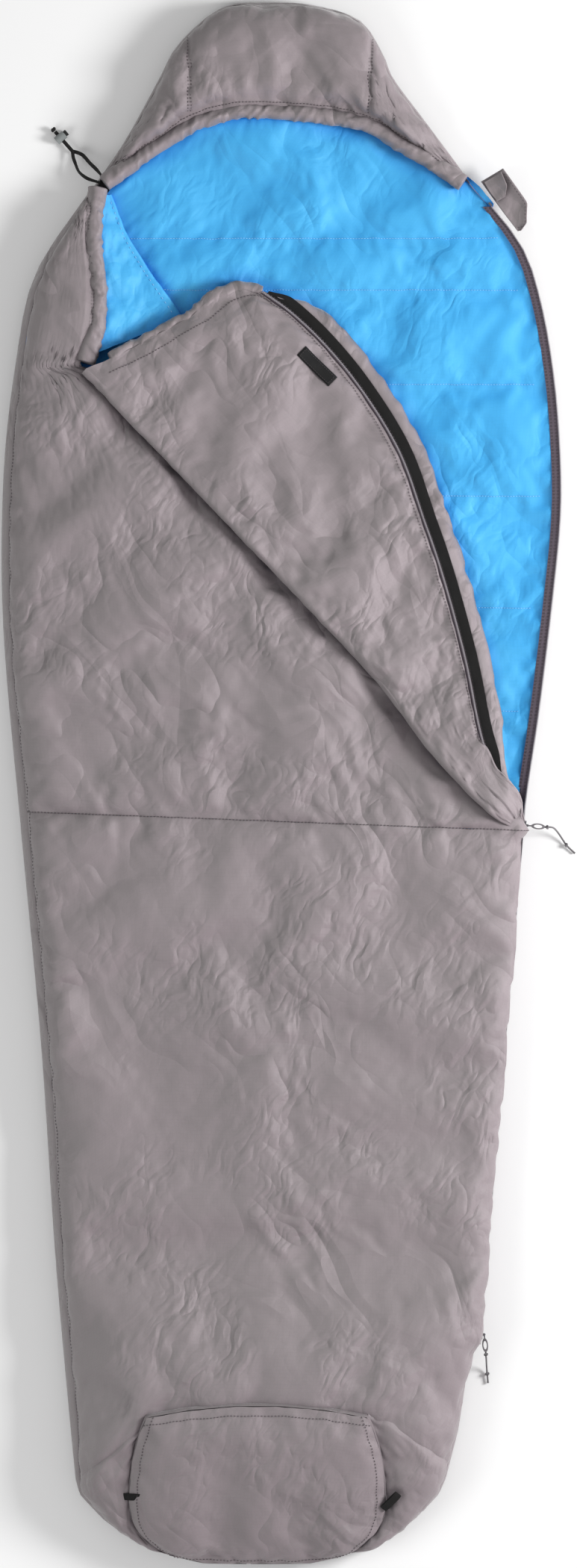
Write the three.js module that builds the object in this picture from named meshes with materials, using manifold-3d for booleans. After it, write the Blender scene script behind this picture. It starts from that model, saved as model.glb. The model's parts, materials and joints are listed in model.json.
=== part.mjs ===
// Mummy sleeping bag, unzipped to the hip and laid flat on its back, in millimetres.
// +Y runs from the foot to the head, +X towards the zip, +Z up.
// The origin is on the ground, under the middle of the bag.
import * as THREE from "three";
import { mergeVertices } from "three/addons/utils/BufferGeometryUtils.js";
import Module from "manifold-3d";

const wasm = await Module();
wasm.setup();

// ---------------------------------------------------------------- driving dimensions

const SHELL = 1.2; // outer fabric with its seam allowance
const LINING = 1.0; // inner fabric
const GAP = 0.4; // clearance between neighbouring layers
const BATT = 18; // padding of the back
const FRONT_BATT = 16;
const FLAP_BATT = 10;
const HOOD_BATT = 18;
const FOOT_BATT = 12;
const CAVITY = 22; // air between the two linings while the bag lies empty
const WALL = 3; // side panels
const EDGE_INSET = 4.5; // padding and lining stop inside the side panels

const BACK_BATT_Z = SHELL + GAP;
const BACK_LINING_Z = BACK_BATT_Z + BATT + GAP;
const FLOOR_Z = BACK_LINING_Z + LINING; // top of the lining that the sleeper lies on
const FRONT_LINING_Z = FLOOR_Z + CAVITY;
const FRONT_BATT_Z = FRONT_LINING_Z + LINING + GAP;
const FRONT_SHELL_Z = FRONT_BATT_Z + FRONT_BATT + GAP;
const FRONT_TOP_Z = FRONT_SHELL_Z + SHELL;

const FRONT_END_Y = -905; // the front stops here, under the foot panel
const FRONT_NECK_Y = 808; // thick front parts stay clear of the lifting hood
const WALL_END_Y = -950;
const NECK_Y = 842; // line across which the hood lifts
const HOOD_FRONT_Y = 862; // the hood's upper half starts here, clear of the front

// Left edge of the flat bag, stations [y, x].
const LEFT_EDGE = [
  [-1000, -292], [-680, -321], [-370, -342], [-60, -371], [230, -396],
  [440, -395], [600, -377], [720, -350], [NECK_Y, -270],
];
// Right edge below and above the straight, closed stretch of the zip.
const RIGHT_EDGE = [
  [-1000, 222], [-947, 241], [-842, 258], [-775, 277], [-58, 338], [105, 361],
  [263, 380], [380, 391], [473, 390], [579, 381], [684, 362], [760, 335], [NECK_Y, 270],
];
const ZIP_BOTTOM = new THREE.Vector2(277, -775);
const ZIP_SPLIT = new THREE.Vector2(338, -58); // where the upper slider stands

// The fold that the open flap turns about, from the neck corner to the slider.
const FOLD_TOP = new THREE.Vector2(-281, 586);
const FOLD_END = new THREE.Vector2(338, -60);
const FOLD_Z = 71;
const FLAP_DROP_DEG = 8.1; // the flap slopes down from the fold to the floor lining
const FLAP_HALF = (SHELL + LINING + FLAP_BATT + 2 * GAP) / 2;
const FLAP_START = 14; // along the fold, from the neck corner
const FLAP_TIP = 52; // left free at the slider
const UNDERLAP = 14; // how far the front runs on under the flap

const CHANNEL_R = 9; // drawcord channel at the hood rim and the left neck
const FLAP_CHANNEL_R = 6;
const CHANNEL_BORE_R = 3;
const CORD_R = 1.6;

const COIL = 2; // height of one coil
const COIL_HALF = 1.1; // half its width
const COIL_GAP = 1.4; // between the closed coils
const CHAIN_Z = 31.7; // middle of the closed chain
const TAPE = 0.6;
const TAPE_FOOT_Z = 18;
const TAPE_TOP_Z = 46;
const ZIP_TAIL = 10; // tape below the lower slider's rest place
const SLIDER_LENGTH = 13;
const SLIDER_WIDTH = 11;
const SLIDER_IN = 1.6; // half the space between its plates
const SLIDER_PLATE = 1.8;
const PIN_OUT = 5.5; // the puller's pin, from the chain
const PIN_R = 0.75;

const FOOT_HINGE_Y = -1096;
const FOOT_HINGE_Z = 31;
const FOOT_TILT_DEG = 18.5;
const FOOT_X = -37;
const FOOT_HALF_WIDTH = 180;
const FOOT_LENGTH = 243;

const LOCK_CENTRE = new THREE.Vector3(-313.5, 914.5, 6.5);
const CORD_DIR = new THREE.Vector3(-0.661, 0.75, 0).normalize(); // away from the bag
const CORD_WIDTH = 5;
const CORD_THICK = 1.5;
const CORD_APART = 0.95; // from the middle of the pair to each cord's middle

// ---------------------------------------------------------------- materials

const material = (color, roughness, metalness = 0) =>
  new THREE.MeshStandardMaterial({ color, roughness, metalness });
const greyShell = material(0x918a8c, 0.55);
const blueLining = material(0x4fb2ec, 0.5);
const padding = material(0xeeeeea, 0.95);
const zipTape = material(0x6a5f66, 0.8);
const zipCoil = material(0x8d878c, 0.4);
const blackWebbing = material(0x141312, 0.85);
const blackCord = material(0x1b1a16, 0.85);
const greyCord = material(0x77757a, 0.8);
const sliderMetal = material(0x76747a, 0.35, 0.7);
const blackPlastic = material(0x101010, 0.35);
const greyPlastic = material(0x777b7b, 0.3);
const springSteel = material(0xb9bcc0, 0.3, 1);

// ---------------------------------------------------------------- helpers

const bag = new THREE.Group();
const v2 = (x, y) => new THREE.Vector2(x, y);
const v3 = (x, y, z) => new THREE.Vector3(x, y, z);
const radians = THREE.MathUtils.degToRad;
const lerp = THREE.MathUtils.lerp;

function add(parent, name, geometry, look) {
  const mesh = new THREE.Mesh(geometry, look);
  mesh.name = name;
  parent.add(mesh);
  return mesh;
}

// A group whose own x and z axes point along the given directions.
function seat(parent, origin, xAxis, zAxis) {
  const x = xAxis.clone().normalize();
  const y = zAxis.clone().cross(x).normalize();
  const z = x.clone().cross(y);
  const group = new THREE.Group();
  group.setRotationFromMatrix(new THREE.Matrix4().makeBasis(x, y, z));
  group.position.copy(origin);
  parent.add(group);
  return group;
}

function solidOf(geometry) {
  const plain = geometry.clone();
  plain.deleteAttribute("normal");
  plain.deleteAttribute("uv");
  const merged = mergeVertices(plain, 1e-3);
  return new wasm.Manifold(
    new wasm.Mesh({
      numProp: 3,
      vertProperties: merged.attributes.position.array,
      triVerts: new Uint32Array(merged.index.array),
    }),
  );
}

function geometryOf(solid) {
  const mesh = solid.getMesh();
  const geometry = new THREE.BufferGeometry();
  geometry.setAttribute("position", new THREE.BufferAttribute(mesh.vertProperties, 3));
  geometry.setIndex(new THREE.BufferAttribute(mesh.triVerts, 1));
  return geometry;
}

function union(...geometries) {
  const solids = geometries.map(solidOf);
  return geometryOf(solids.reduce((sum, next) => sum.add(next)));
}

function without(geometry, ...cutters) {
  const solids = cutters.map(solidOf);
  return geometryOf(solids.reduce((rest, next) => rest.subtract(next), solidOf(geometry)));
}

// An outline in the XY plane, raised from z0 by height.
function prism(points, z0, height, holes = []) {
  const shape = new THREE.Shape(points);
  shape.holes = holes.map((hole) => new THREE.Path(hole));
  const options = { depth: height, bevelEnabled: false, curveSegments: 6 };
  return new THREE.ExtrudeGeometry(shape, options).translate(0, 0, z0);
}

// An outline in the YZ plane, pushed along X from x0 by length.
const toX = new THREE.Matrix4().makeBasis(v3(0, 1, 0), v3(0, 0, 1), v3(1, 0, 0));
const prismX = (points, x0, length, holes) => prism(points, x0, length, holes).applyMatrix4(toX);

// An outline in the ZX plane, pushed along Y from y0 by length.
const toY = new THREE.Matrix4().makeBasis(v3(0, 0, 1), v3(1, 0, 0), v3(0, 1, 0));
const prismY = (points, y0, length, holes) => prism(points, y0, length, holes).applyMatrix4(toY);

const box = (x0, x1, y0, y1, z0, z1) =>
  new THREE.BoxGeometry(x1 - x0, y1 - y0, z1 - z0).translate(
    (x0 + x1) / 2, (y0 + y1) / 2, (z0 + z1) / 2,
  );

// A closed body through rings of points that turn anticlockwise seen from the last ring.
function loft(rings) {
  const count = rings[0].length;
  const last = (rings.length - 1) * count;
  const index = [];
  for (let i = 0; i < last; i += count)
    for (let j = 0; j < count; j++) {
      const a = i + j;
      const b = i + ((j + 1) % count);
      index.push(a, b, b + count, a, b + count, a + count);
    }
  for (let j = 1; j < count - 1; j++) index.push(0, j + 1, j, last, last + j, last + j + 1);
  const corners = rings.flat().flatMap((p) => [p.x, p.y, p.z]);
  const geometry = new THREE.BufferGeometry();
  geometry.setAttribute("position", new THREE.Float32BufferAttribute(corners, 3));
  geometry.setIndex(index);
  return geometry;
}

// Smooth curve through stations [y, x], read at one y.
function across(stations, y) {
  let i = 0;
  while (i < stations.length - 2 && y > stations[i + 1][0]) i++;
  const slope = (k) => {
    const [ya, xa] = stations[Math.max(k - 1, 0)];
    const [yb, xb] = stations[Math.min(k + 1, stations.length - 1)];
    return (xb - xa) / (yb - ya);
  };
  const [y0, x0] = stations[i];
  const [y1, x1] = stations[i + 1];
  const span = y1 - y0;
  const t = (y - y0) / span;
  const rise = t * t * (3 - 2 * t);
  return (
    lerp(x0, x1, rise) +
    span * slope(i) * t * (1 - t) * (1 - t) -
    span * slope(i + 1) * t * t * (1 - t)
  );
}

const leftX = (y) => across(LEFT_EDGE, y);
const rightX = (y) => {
  if (y > ZIP_SPLIT.y || y < ZIP_BOTTOM.y) return across(RIGHT_EDGE, y);
  return lerp(ZIP_BOTTOM.x, ZIP_SPLIT.x, (y - ZIP_BOTTOM.y) / (ZIP_SPLIT.y - ZIP_BOTTOM.y));
};

function edge(xAt, y0, y1, steps, inset = 0) {
  return Array.from({ length: steps + 1 }, (_, i) => {
    const y = lerp(y0, y1, i / steps);
    return v2(xAt(y) + inset, y);
  });
}

const spline = (pairs, steps) =>
  new THREE.SplineCurve(pairs.map(([x, y]) => v2(x, y))).getPoints(steps);

// An open line moved sideways: positive is to the right of its direction of travel.
function offset(points, distance) {
  return points.map((p, i) => {
    const before = points[Math.max(i - 1, 0)];
    const after = points[Math.min(i + 1, points.length - 1)];
    const along = after.clone().sub(before).normalize();
    return v2(p.x + along.y * distance, p.y - along.x * distance);
  });
}

const ribbon = (line, d0, d1, z0, height) =>
  prism([...offset(line, d0), ...offset(line, d1).reverse()], z0, height);

const circle = (radius, sides, x = 0, y = 0) =>
  Array.from({ length: sides }, (_, i) => {
    const a = (2 * Math.PI * (i + 0.5)) / sides;
    return v2(x + radius * Math.cos(a), y + radius * Math.sin(a));
  });

function sweep(points, radius, steps, sides = 8, bore = 0) {
  const shape = new THREE.Shape(circle(radius, sides));
  if (bore) shape.holes.push(new THREE.Path(circle(bore, sides)));
  return new THREE.ExtrudeGeometry(shape, {
    steps,
    bevelEnabled: false,
    extrudePath: new THREE.CatmullRomCurve3(points, false, "centripetal"),
  });
}

const atHeight = (line, z) => line.map((p) => v3(p.x, p.y, z));
const ball = (radius, x, y, z, detail = 1) =>
  new THREE.IcosahedronGeometry(radius, detail).translate(x, y, z);

// ---------------------------------------------------------------- back of the bag

const HEEL_LINE = spline(
  [[-288, -1002], [-239, -1050], [-164, -1083], [-30, -1091], [108, -1083], [172, -1048], [219, -1002]],
  16,
);

function backOutline(inset) {
  return [
    ...HEEL_LINE.map((p) => v2(p.x * (1 - inset / 290), p.y + inset)),
    ...offset(edge(rightX, -980, -775, 3), -1 - inset),
    ...offset(edge(rightX, -30, NECK_Y - 1, 30), -1 - inset),
    ...offset(edge(leftX, NECK_Y - 1, -980, 50), -inset),
  ].filter((p) => p.y < NECK_Y - 0.5);
}

add(bag, "back_shell", prism(backOutline(0), 0, SHELL), greyShell);
add(bag, "back_insulation", prism(backOutline(EDGE_INSET), BACK_BATT_Z, BATT), padding);
add(bag, "back_lining", prism(backOutline(EDGE_INSET), BACK_LINING_Z, LINING), blueLining);

const WALL_Z = SHELL + GAP;
const leftWall = edge(leftX, 812, WALL_END_Y, 50);
const rightWall = [...edge(rightX, WALL_END_Y, -775, 3), ...edge(rightX, -30, 822, 30)];
const leftWallHeight = FRONT_SHELL_Z - GAP - WALL_Z;
add(bag, "left_side_panel", ribbon(leftWall, 0, -WALL, WALL_Z, leftWallHeight), greyShell);
add(
  bag,
  "right_side_panel",
  ribbon(rightWall, -1, -1 - WALL, WALL_Z, TAPE_FOOT_Z - GAP - WALL_Z),
  greyShell,
);

// ---------------------------------------------------------------- front of the bag

const zipLength = ZIP_SPLIT.distanceTo(ZIP_BOTTOM);
const zipAlong = ZIP_SPLIT.clone().sub(ZIP_BOTTOM).normalize();
const zipPoint = (up) => ZIP_BOTTOM.clone().addScaledVector(zipAlong, up);
const foldAlong = FOLD_END.clone().sub(FOLD_TOP).normalize();
const foldAcross = v2(-foldAlong.y, foldAlong.x); // towards the flap
const foldLength = FOLD_END.distanceTo(FOLD_TOP);
const foldPoint = (along, out = 0) =>
  FOLD_TOP.clone().addScaledVector(foldAlong, along).addScaledVector(foldAcross, out);

// Left neck edge of the front, as the middle of its drawcord channel.
const LEFT_NECK = spline(
  [[-268, 812], [-269, 760], [-262, 709], [-262, 670], [-266, 635], [-281, 594]],
  12,
);
const leftNeckX = (y) =>
  across([[594, -281], [635, -266], [670, -262], [709, -262], [760, -269], [812, -268]], y);

function frontOutline(inset) {
  return [
    ...offset(edge(rightX, FRONT_END_Y, -775, 3), -1 - inset),
    zipPoint(zipLength - 20).sub(v2(1 + inset, 0)),
    foldPoint(foldLength - 40),
    foldPoint(foldLength - 160, UNDERLAP),
    foldPoint(90, UNDERLAP),
    foldPoint(16, -2),
    ...offset(LEFT_NECK, CHANNEL_R + 1).reverse(),
    ...offset(edge(leftX, FRONT_NECK_Y - 2 * inset, FRONT_END_Y, 50), -inset),
  ];
}

// A seam crosses the front shell a little below the slider.
const crossSeamY = (x) => -52.7 - 0.0377 * x;
function besideCrossSeam(side) {
  const near = (x) => v2(x, crossSeamY(x) + (side * GAP) / 2);
  const outline = [near(-600), near(600), v2(600, side * 1500), v2(-600, side * 1500)];
  return prism(outline, 0, FRONT_TOP_Z + 5);
}
const frontShell = solidOf(prism(frontOutline(0), FRONT_SHELL_Z, SHELL));
const frontShellPart = (side) => geometryOf(frontShell.intersect(solidOf(besideCrossSeam(side))));
add(bag, "front_shell_upper", frontShellPart(1), greyShell);
add(bag, "front_shell_lower", frontShellPart(-1), greyShell);
add(bag, "front_insulation", prism(frontOutline(EDGE_INSET), FRONT_BATT_Z, FRONT_BATT), padding);
add(bag, "front_lining", prism(frontOutline(EDGE_INSET), FRONT_LINING_Z, LINING), blueLining);

const neckChannelZ = FRONT_TOP_Z - CHANNEL_R - 1;
add(
  bag,
  "neck_channel_left",
  sweep(atHeight(LEFT_NECK, neckChannelZ), CHANNEL_R, 16, 10, CHANNEL_BORE_R),
  greyShell,
);

// Beside the left neck channel the lining slopes down towards the floor.
const FACING_X = -262;
const FACING_SLOPE = 0.2;
const FACING_OUTER = [[806, -244], [775, -226], [710, -184], [657, -150], [616, -196]]; // [y, x]
const facing = seat(
  bag,
  v3(FACING_X, 0, neckChannelZ - 6),
  v3(1, 0, -FACING_SLOPE),
  v3(FACING_SLOPE, 0, 1),
);
const facingOutline = [
  ...FACING_OUTER.map(([y, x]) => v2(x, y)),
  ...edge(leftNeckX, 616, 806, 6, CHANNEL_R + 2),
].map((p) => v2((p.x - FACING_X) * Math.hypot(1, FACING_SLOPE), p.y));
add(facing, "neck_facing_left", prism(facingOutline, 0, LINING), blueLining);

// ---------------------------------------------------------------- zip, fixed to the bag

const closedLine = [zipPoint(-ZIP_TAIL), zipPoint(zipLength)];
const openLine = edge(rightX, -30, 814, 22);
const coilBackZ = CHAIN_Z - COIL_GAP / 2 - COIL;
const coilFrontZ = CHAIN_Z + COIL_GAP / 2;
const tapeBackTop = coilBackZ - 0.2;
const tapeFrontFoot = coilFrontZ + COIL + 0.2;

add(
  bag,
  "zip_tape_back",
  ribbon([...closedLine, ...openLine], TAPE / 2, -TAPE / 2, TAPE_FOOT_Z, tapeBackTop - TAPE_FOOT_Z),
  zipTape,
);
add(
  bag,
  "zip_coil_back",
  ribbon([...closedLine, ...openLine], COIL_HALF, -COIL_HALF, coilBackZ, COIL),
  zipCoil,
);
add(
  bag,
  "zip_tape_front",
  ribbon(closedLine, TAPE / 2, -TAPE / 2, tapeFrontFoot, TAPE_TOP_Z - tapeFrontFoot),
  zipTape,
);
add(bag, "zip_coil_front", ribbon(closedLine, COIL_HALF, -COIL_HALF, coilFrontZ, COIL), zipCoil);

const STOP_HALF = 1.5; // half the width of a zip stop
const bottomStop = [zipPoint(-ZIP_TAIL - 4), zipPoint(-ZIP_TAIL - 0.4)];
add(
  bag,
  "zip_bottom_stop",
  ribbon(bottomStop, STOP_HALF, -STOP_HALF, coilBackZ, 2 * COIL + COIL_GAP),
  sliderMetal,
);
const topStop = edge(rightX, 814.4, 819, 1);
add(
  bag,
  "zip_top_stop",
  ribbon(topStop, STOP_HALF, -STOP_HALF, coilBackZ - STOP_HALF, COIL + 2),
  sliderMetal,
);

// ---------------------------------------------------------------- sliders and pullers

// In a slider's own frame x points out of the bag's side, y up the zip, and z is world z.
const zipOut = v3(zipAlong.y, -zipAlong.x, 0);
const sliderSeat = (up) => {
  const place = zipPoint(up);
  return seat(bag, v3(place.x, place.y, CHAIN_Z), zipOut, v3(0, 0, 1));
};

// divider is +1 when the chain parts above the slider and -1 when it parts below.
function sliderBody(divider) {
  const half = SLIDER_LENGTH / 2;
  const wide = SLIDER_WIDTH / 2;
  const narrow = wide - 1.6;
  const side = [
    v2(-half, narrow), v2(-half + 4, narrow + 0.4), v2(half - 5, wide), v2(half - 1, wide - 0.5),
    v2(half, wide - 2.2),
  ];
  const outline = [...side.map((p) => v2(p.x, -p.y)), ...side.reverse()].map((p) =>
    v2(p.x * divider, p.y),
  );
  const plates = [SLIDER_IN, -SLIDER_IN - SLIDER_PLATE].map((x) => prismX(outline, x, SLIDER_PLATE));
  const inner = SLIDER_IN + 0.2;
  const post = box(-inner, inner, -1.5, 1.5, -0.4, 0.4).translate(0, 3 * divider, 0);
  const face = SLIDER_IN + SLIDER_PLATE - 0.2;
  const ears = [2.8, -2.8].map((z) => box(face, PIN_OUT + 1.3, -1.6, 1.6, z - 0.6, z + 0.6));
  const pin = prism(circle(PIN_R, 10, PIN_OUT, 0), -3, 6);
  return union(...plates, post, ...ears, pin);
}

// The puller's frame is at its pin, with x along the puller.
const TAB_LENGTH = 25;
function pullTab() {
  const eye = prism(circle(1.85, 12), -1, 2, [circle(PIN_R + 0.3, 10)]);
  const neck = box(1.5, 8, -1, 1, -1, 1);
  const leaf = (width, from, to) =>
    Array.from({ length: 16 }, (_, i) => {
      const a = (2 * Math.PI * (i + 0.5)) / 16;
      return v2(lerp(from, to, (1 + Math.cos(a)) / 2), width * Math.sin(a));
    });
  return union(eye, neck, prism(leaf(4.2, 5, TAB_LENGTH), -1, 2, [leaf(2.4, 9, TAB_LENGTH - 4)]));
}

// A cord from the tab to the ground with a knot at each end.
function pullCord(bend) {
  const start = TAB_LENGTH + 3.2;
  const low = 3.4 - CHAIN_Z;
  const path = [
    v3(start, 0, 0), v3(start + 8, 0, -6), v3(start + 16, -0.25 * bend, low + 8),
    v3(start + 25, -0.7 * bend, low + 1), v3(start + 31, -bend, low), v3(start + 43, -1.4 * bend, low - 1),
  ];
  const knots = [ball(3, start, 0, 0), ball(3.3, start + 30, -0.96 * bend, low)];
  return union(sweep(path, 1.3, 14, 7), ...knots);
}

function slider(where, up, divider, restDeg, bend) {
  const place = sliderSeat(up);
  add(place, `zip_slider_${where}`, sliderBody(divider), sliderMetal);
  const pull = new THREE.Group();
  pull.position.x = PIN_OUT;
  pull.rotation.z = radians(restDeg);
  place.add(pull);
  add(pull, `pull_tab_${where}`, pullTab(), greyCord);
  add(pull, `pull_cord_${where}`, pullCord(bend), greyCord);
}
slider("upper", zipLength, 1, 0, 24);
slider("lower", 0, -1, -80, 0);

// ---------------------------------------------------------------- flap

// In the flap's frame x runs along the fold, y into the flap and z out of its outer face.
const drop = radians(FLAP_DROP_DEG);
const flapX = v3(foldAlong.x, foldAlong.y, 0);
const flapY = v3(foldAcross.x * Math.cos(drop), foldAcross.y * Math.cos(drop), -Math.sin(drop));
const flap = seat(bag, v3(FOLD_TOP.x, FOLD_TOP.y, FOLD_Z), flapX, flapX.clone().cross(flapY));
const onFlap = (p) => {
  const from = p.clone().sub(FOLD_TOP);
  return v2(from.dot(foldAlong), from.dot(foldAcross) / Math.cos(drop));
};

// The neck edge from the fold to the top of the zip, then the coil down to the slider.
const FLAP_NECK = spline(
  [[-266, 590], [-224, 612], [-166, 644], [-136, 659], [-108, 685], [-82, 699], [-51, 702]],
  14,
).map(onFlap);
const FLAP_ZIP = spline(
  [
    [-51, 702], [-18, 684], [43, 632], [104, 560], [161, 468], [196, 371], [222, 294], [254, 175],
    [275, 72], [297, 6], [317, -30],
  ],
  30,
).map(onFlap);
const rollEnd = foldLength - FLAP_TIP;
const neckRoom = ribbon(FLAP_NECK, -8, 2 * FLAP_CHANNEL_R + 1, -20, 40); // kept for the channel

function flapSlab(z, height, zipInset, foldInset) {
  const outline = [
    v2(FLAP_START, foldInset),
    v2(rollEnd, foldInset),
    ...offset(FLAP_ZIP, zipInset).slice(0, -1).reverse(),
    ...FLAP_NECK.slice(1, -1).reverse(),
  ];
  return without(prism(outline, z, height), neckRoom);
}

const rollArc = Array.from({ length: 9 }, (_, i) => Math.PI * (0.5 + i / 8));
const roll = [
  ...rollArc.map((a) => v2(FLAP_HALF * Math.cos(a), FLAP_HALF * Math.sin(a))),
  ...rollArc
    .map((a) => v2((FLAP_HALF - SHELL) * Math.cos(a), (FLAP_HALF - SHELL) * Math.sin(a)))
    .reverse(),
];
const flapTop = flapSlab(FLAP_HALF - SHELL, SHELL, 1.5, 0);
const foldRoll = without(prismX(roll, FLAP_START, rollEnd - FLAP_START), neckRoom);
const flapBatt = flapSlab(-FLAP_HALF + LINING + GAP, FLAP_BATT, EDGE_INSET, 0);
add(flap, "flap_shell", union(flapTop, foldRoll), greyShell);
add(flap, "flap_insulation", flapBatt, padding);
add(flap, "flap_lining", flapSlab(-FLAP_HALF, LINING - 0.1, EDGE_INSET, GAP), blueLining);
const flapNeckLine = atHeight(offset(FLAP_NECK, FLAP_CHANNEL_R).slice(1), 0);
add(
  flap,
  "flap_neck_channel",
  sweep(flapNeckLine, FLAP_CHANNEL_R, 16, 10, CHANNEL_BORE_R),
  greyShell,
);
const onShell = FLAP_HALF + 0.3;
const flapTapeLine = FLAP_ZIP.slice(1);
const behindFold = box(0, 1000, -40, 1, 0, 20); // the tape ends at the fold, not beyond it
const flapTape = without(ribbon(flapTapeLine, 1.8, 15, onShell, TAPE), behindFold);
add(flap, "flap_zip_tape", flapTape, zipTape);
add(flap, "flap_zip_coil", ribbon(flapTapeLine, 1.4, -0.8, onShell, COIL), zipCoil);

// A padded tube lies behind the coil, with a stiff strip on it that keeps the slider off the fabric.
const draftInner = offset(FLAP_ZIP.slice(1, -2), -1.4);
const DRAFT_OUTER = spline(
  [
    [4, 704], [64, 640], [130, 562], [207, 445], [247, 332], [276, 240], [296, 155], [312, 70],
    [318, 10],
  ],
  24,
).map(onFlap);
const draftTop = FLAP_HALF - 3;
const draftOutline = [...draftInner, ...DRAFT_OUTER.reverse()];
add(flap, "draft_tube", prism(draftOutline, -FLAP_HALF, draftTop + FLAP_HALF), greyShell);
add(flap, "anti_snag_strip", ribbon(FLAP_ZIP.slice(1, -3), -3, -18, draftTop + 0.3, 1), blackWebbing);

const LABEL = { length: 62, width: 18, turn: -4 };
const labelPlace = onFlap(v2(45.5, 585.5));
const label = new THREE.Group();
label.position.set(labelPlace.x, labelPlace.y, 0);
label.rotation.z = radians(LABEL.turn);
flap.add(label);
const [labelX, labelY] = [LABEL.length / 2, LABEL.width / 2];
add(label, "woven_label", box(-labelX, labelX, -labelY, labelY, onShell, onShell + 0.8), blackWebbing);

// ---------------------------------------------------------------- hood

const HOOD_EDGE = spline(
  [
    [-268, NECK_Y + 1], [-222, 911], [-176, 995], [-148, 1045], [-87, 1096], [-22, 1103],
    [42, 1099], [107, 1078], [140, 1030], [155, 995], [202, 932], [268, NECK_Y + 1],
  ],
  36,
);
const HOOD_RIM = spline(
  [
    [-252, 842], [-180, 887], [-127, 920], [-78, 935], [-25, 938], [67, 931], [129, 914],
    [160, 894], [206, 866], [252, 842],
  ],
  24,
);
const HOOD_SEAMS = [-129, 119]; // between the side panels and the middle panel

const hoodBack = (inset) => [
  v2(HOOD_EDGE[0].x + inset, NECK_Y + 1),
  v2(HOOD_EDGE.at(-1).x - inset, NECK_Y + 1),
  ...offset(HOOD_EDGE, inset).slice(1, -1).reverse(),
];
add(bag, "hood_back_shell", prism(hoodBack(0.01), 0, SHELL), greyShell);
add(bag, "hood_back_insulation", prism(hoodBack(EDGE_INSET), BACK_BATT_Z, BATT), padding);
add(bag, "hood_back_lining", prism(hoodBack(EDGE_INSET), BACK_LINING_Z, LINING), blueLining);

// The hood's upper half is the crescent between its outer edge and the rim channel.
const faceOpening = [v2(-400, 600), v2(400, 600), ...offset(HOOD_RIM, -2 * CHANNEL_R - 1).reverse()];
function crescent(inset, z, height) {
  return without(
    prism(hoodBack(inset), z, height),
    prism(faceOpening, z - 1, height + 2),
    box(-400, 400, 600, HOOD_FRONT_Y, z - 1, z + height + 1),
  );
}
const hoodLiningZ = FLOOR_Z + GAP;
const hoodBattZ = hoodLiningZ + LINING + GAP;
const hoodShellZ = hoodBattZ + HOOD_BATT + GAP;
add(bag, "hood_lining", crescent(EDGE_INSET, hoodLiningZ, LINING), blueLining);
add(bag, "hood_insulation", crescent(EDGE_INSET, hoodBattZ, HOOD_BATT), padding);

const hoodPanel = (x0, x1) =>
  geometryOf(
    solidOf(crescent(0.01, hoodShellZ, SHELL)).intersect(
      solidOf(box(x0 + GAP / 2, x1 - GAP / 2, 700, 1200, hoodShellZ - 5, hoodShellZ + 5)),
    ),
  );
add(bag, "hood_left_panel", hoodPanel(-400, HOOD_SEAMS[0]), greyShell);
add(bag, "hood_center_panel", hoodPanel(...HOOD_SEAMS), greyShell);
add(bag, "hood_right_panel", hoodPanel(HOOD_SEAMS[1], 400), greyShell);

const rimLine = atHeight(
  offset(HOOD_RIM, -CHANNEL_R).filter((p) => p.y > HOOD_FRONT_Y + CHANNEL_R),
  hoodLiningZ + CHANNEL_R + 2,
);
add(bag, "hood_rim_channel", sweep(rimLine, CHANNEL_R, 26, 10, CHANNEL_BORE_R), greyShell);
add(bag, "hood_drawcord", sweep(rimLine, CORD_R, 26, 7), blackCord);

// ---------------------------------------------------------------- drawcord loop and cord lock

// In the lock's frame x points along the cords, away from the bag, and y along the barrel.
const lock = seat(bag, LOCK_CENTRE, CORD_DIR, v3(0, 0, 1));
const LOOP_END = 11;
// Each flat cord comes down from beside the neck corner and then lies straight: stations [x, z].
const CORD_FALL = [[-62, 14], [-54, 10.5], [-46, 5.5], [-38, 1.6], [-28, 0], [LOOP_END - 1, 0]];
function strand(side) {
  const middle = CORD_FALL.map(([x, z]) => v2(x, z));
  const line = offset(middle, -side * CORD_APART);
  const outline = [...offset(line, CORD_THICK / 2), ...offset(line, -CORD_THICK / 2).reverse()];
  return prism(outline, -CORD_WIDTH / 2, CORD_WIDTH).rotateX(Math.PI / 2);
}
const loopTurn = CORD_APART + CORD_THICK / 2;
const loopBend = box(LOOP_END - 3, LOOP_END, -CORD_WIDTH / 2, CORD_WIDTH / 2, -loopTurn, loopTurn);
add(lock, "drawcord_loop", union(strand(1), strand(-1), loopBend), blackCord);
add(lock, "cord_end_knot", ball(3.8, LOOP_END + 4.4, 0, -1.5), blackCord);

const BARREL_R = 6.2;
const BORE_R = 4.75;
const PLUNGER_R = 4.5;
const PRESS = 2.5; // travel of the button
const BARREL_OPEN = -5.2;
const BARREL_END = 10;
const BORE_END = 8.7;
const slotTop = loopTurn + 0.25;
const slotHalf = CORD_WIDTH / 2 + 0.4;
const disc = (radius, y0, y1) => prismY(circle(radius, 20), y0, y1 - y0);

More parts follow.
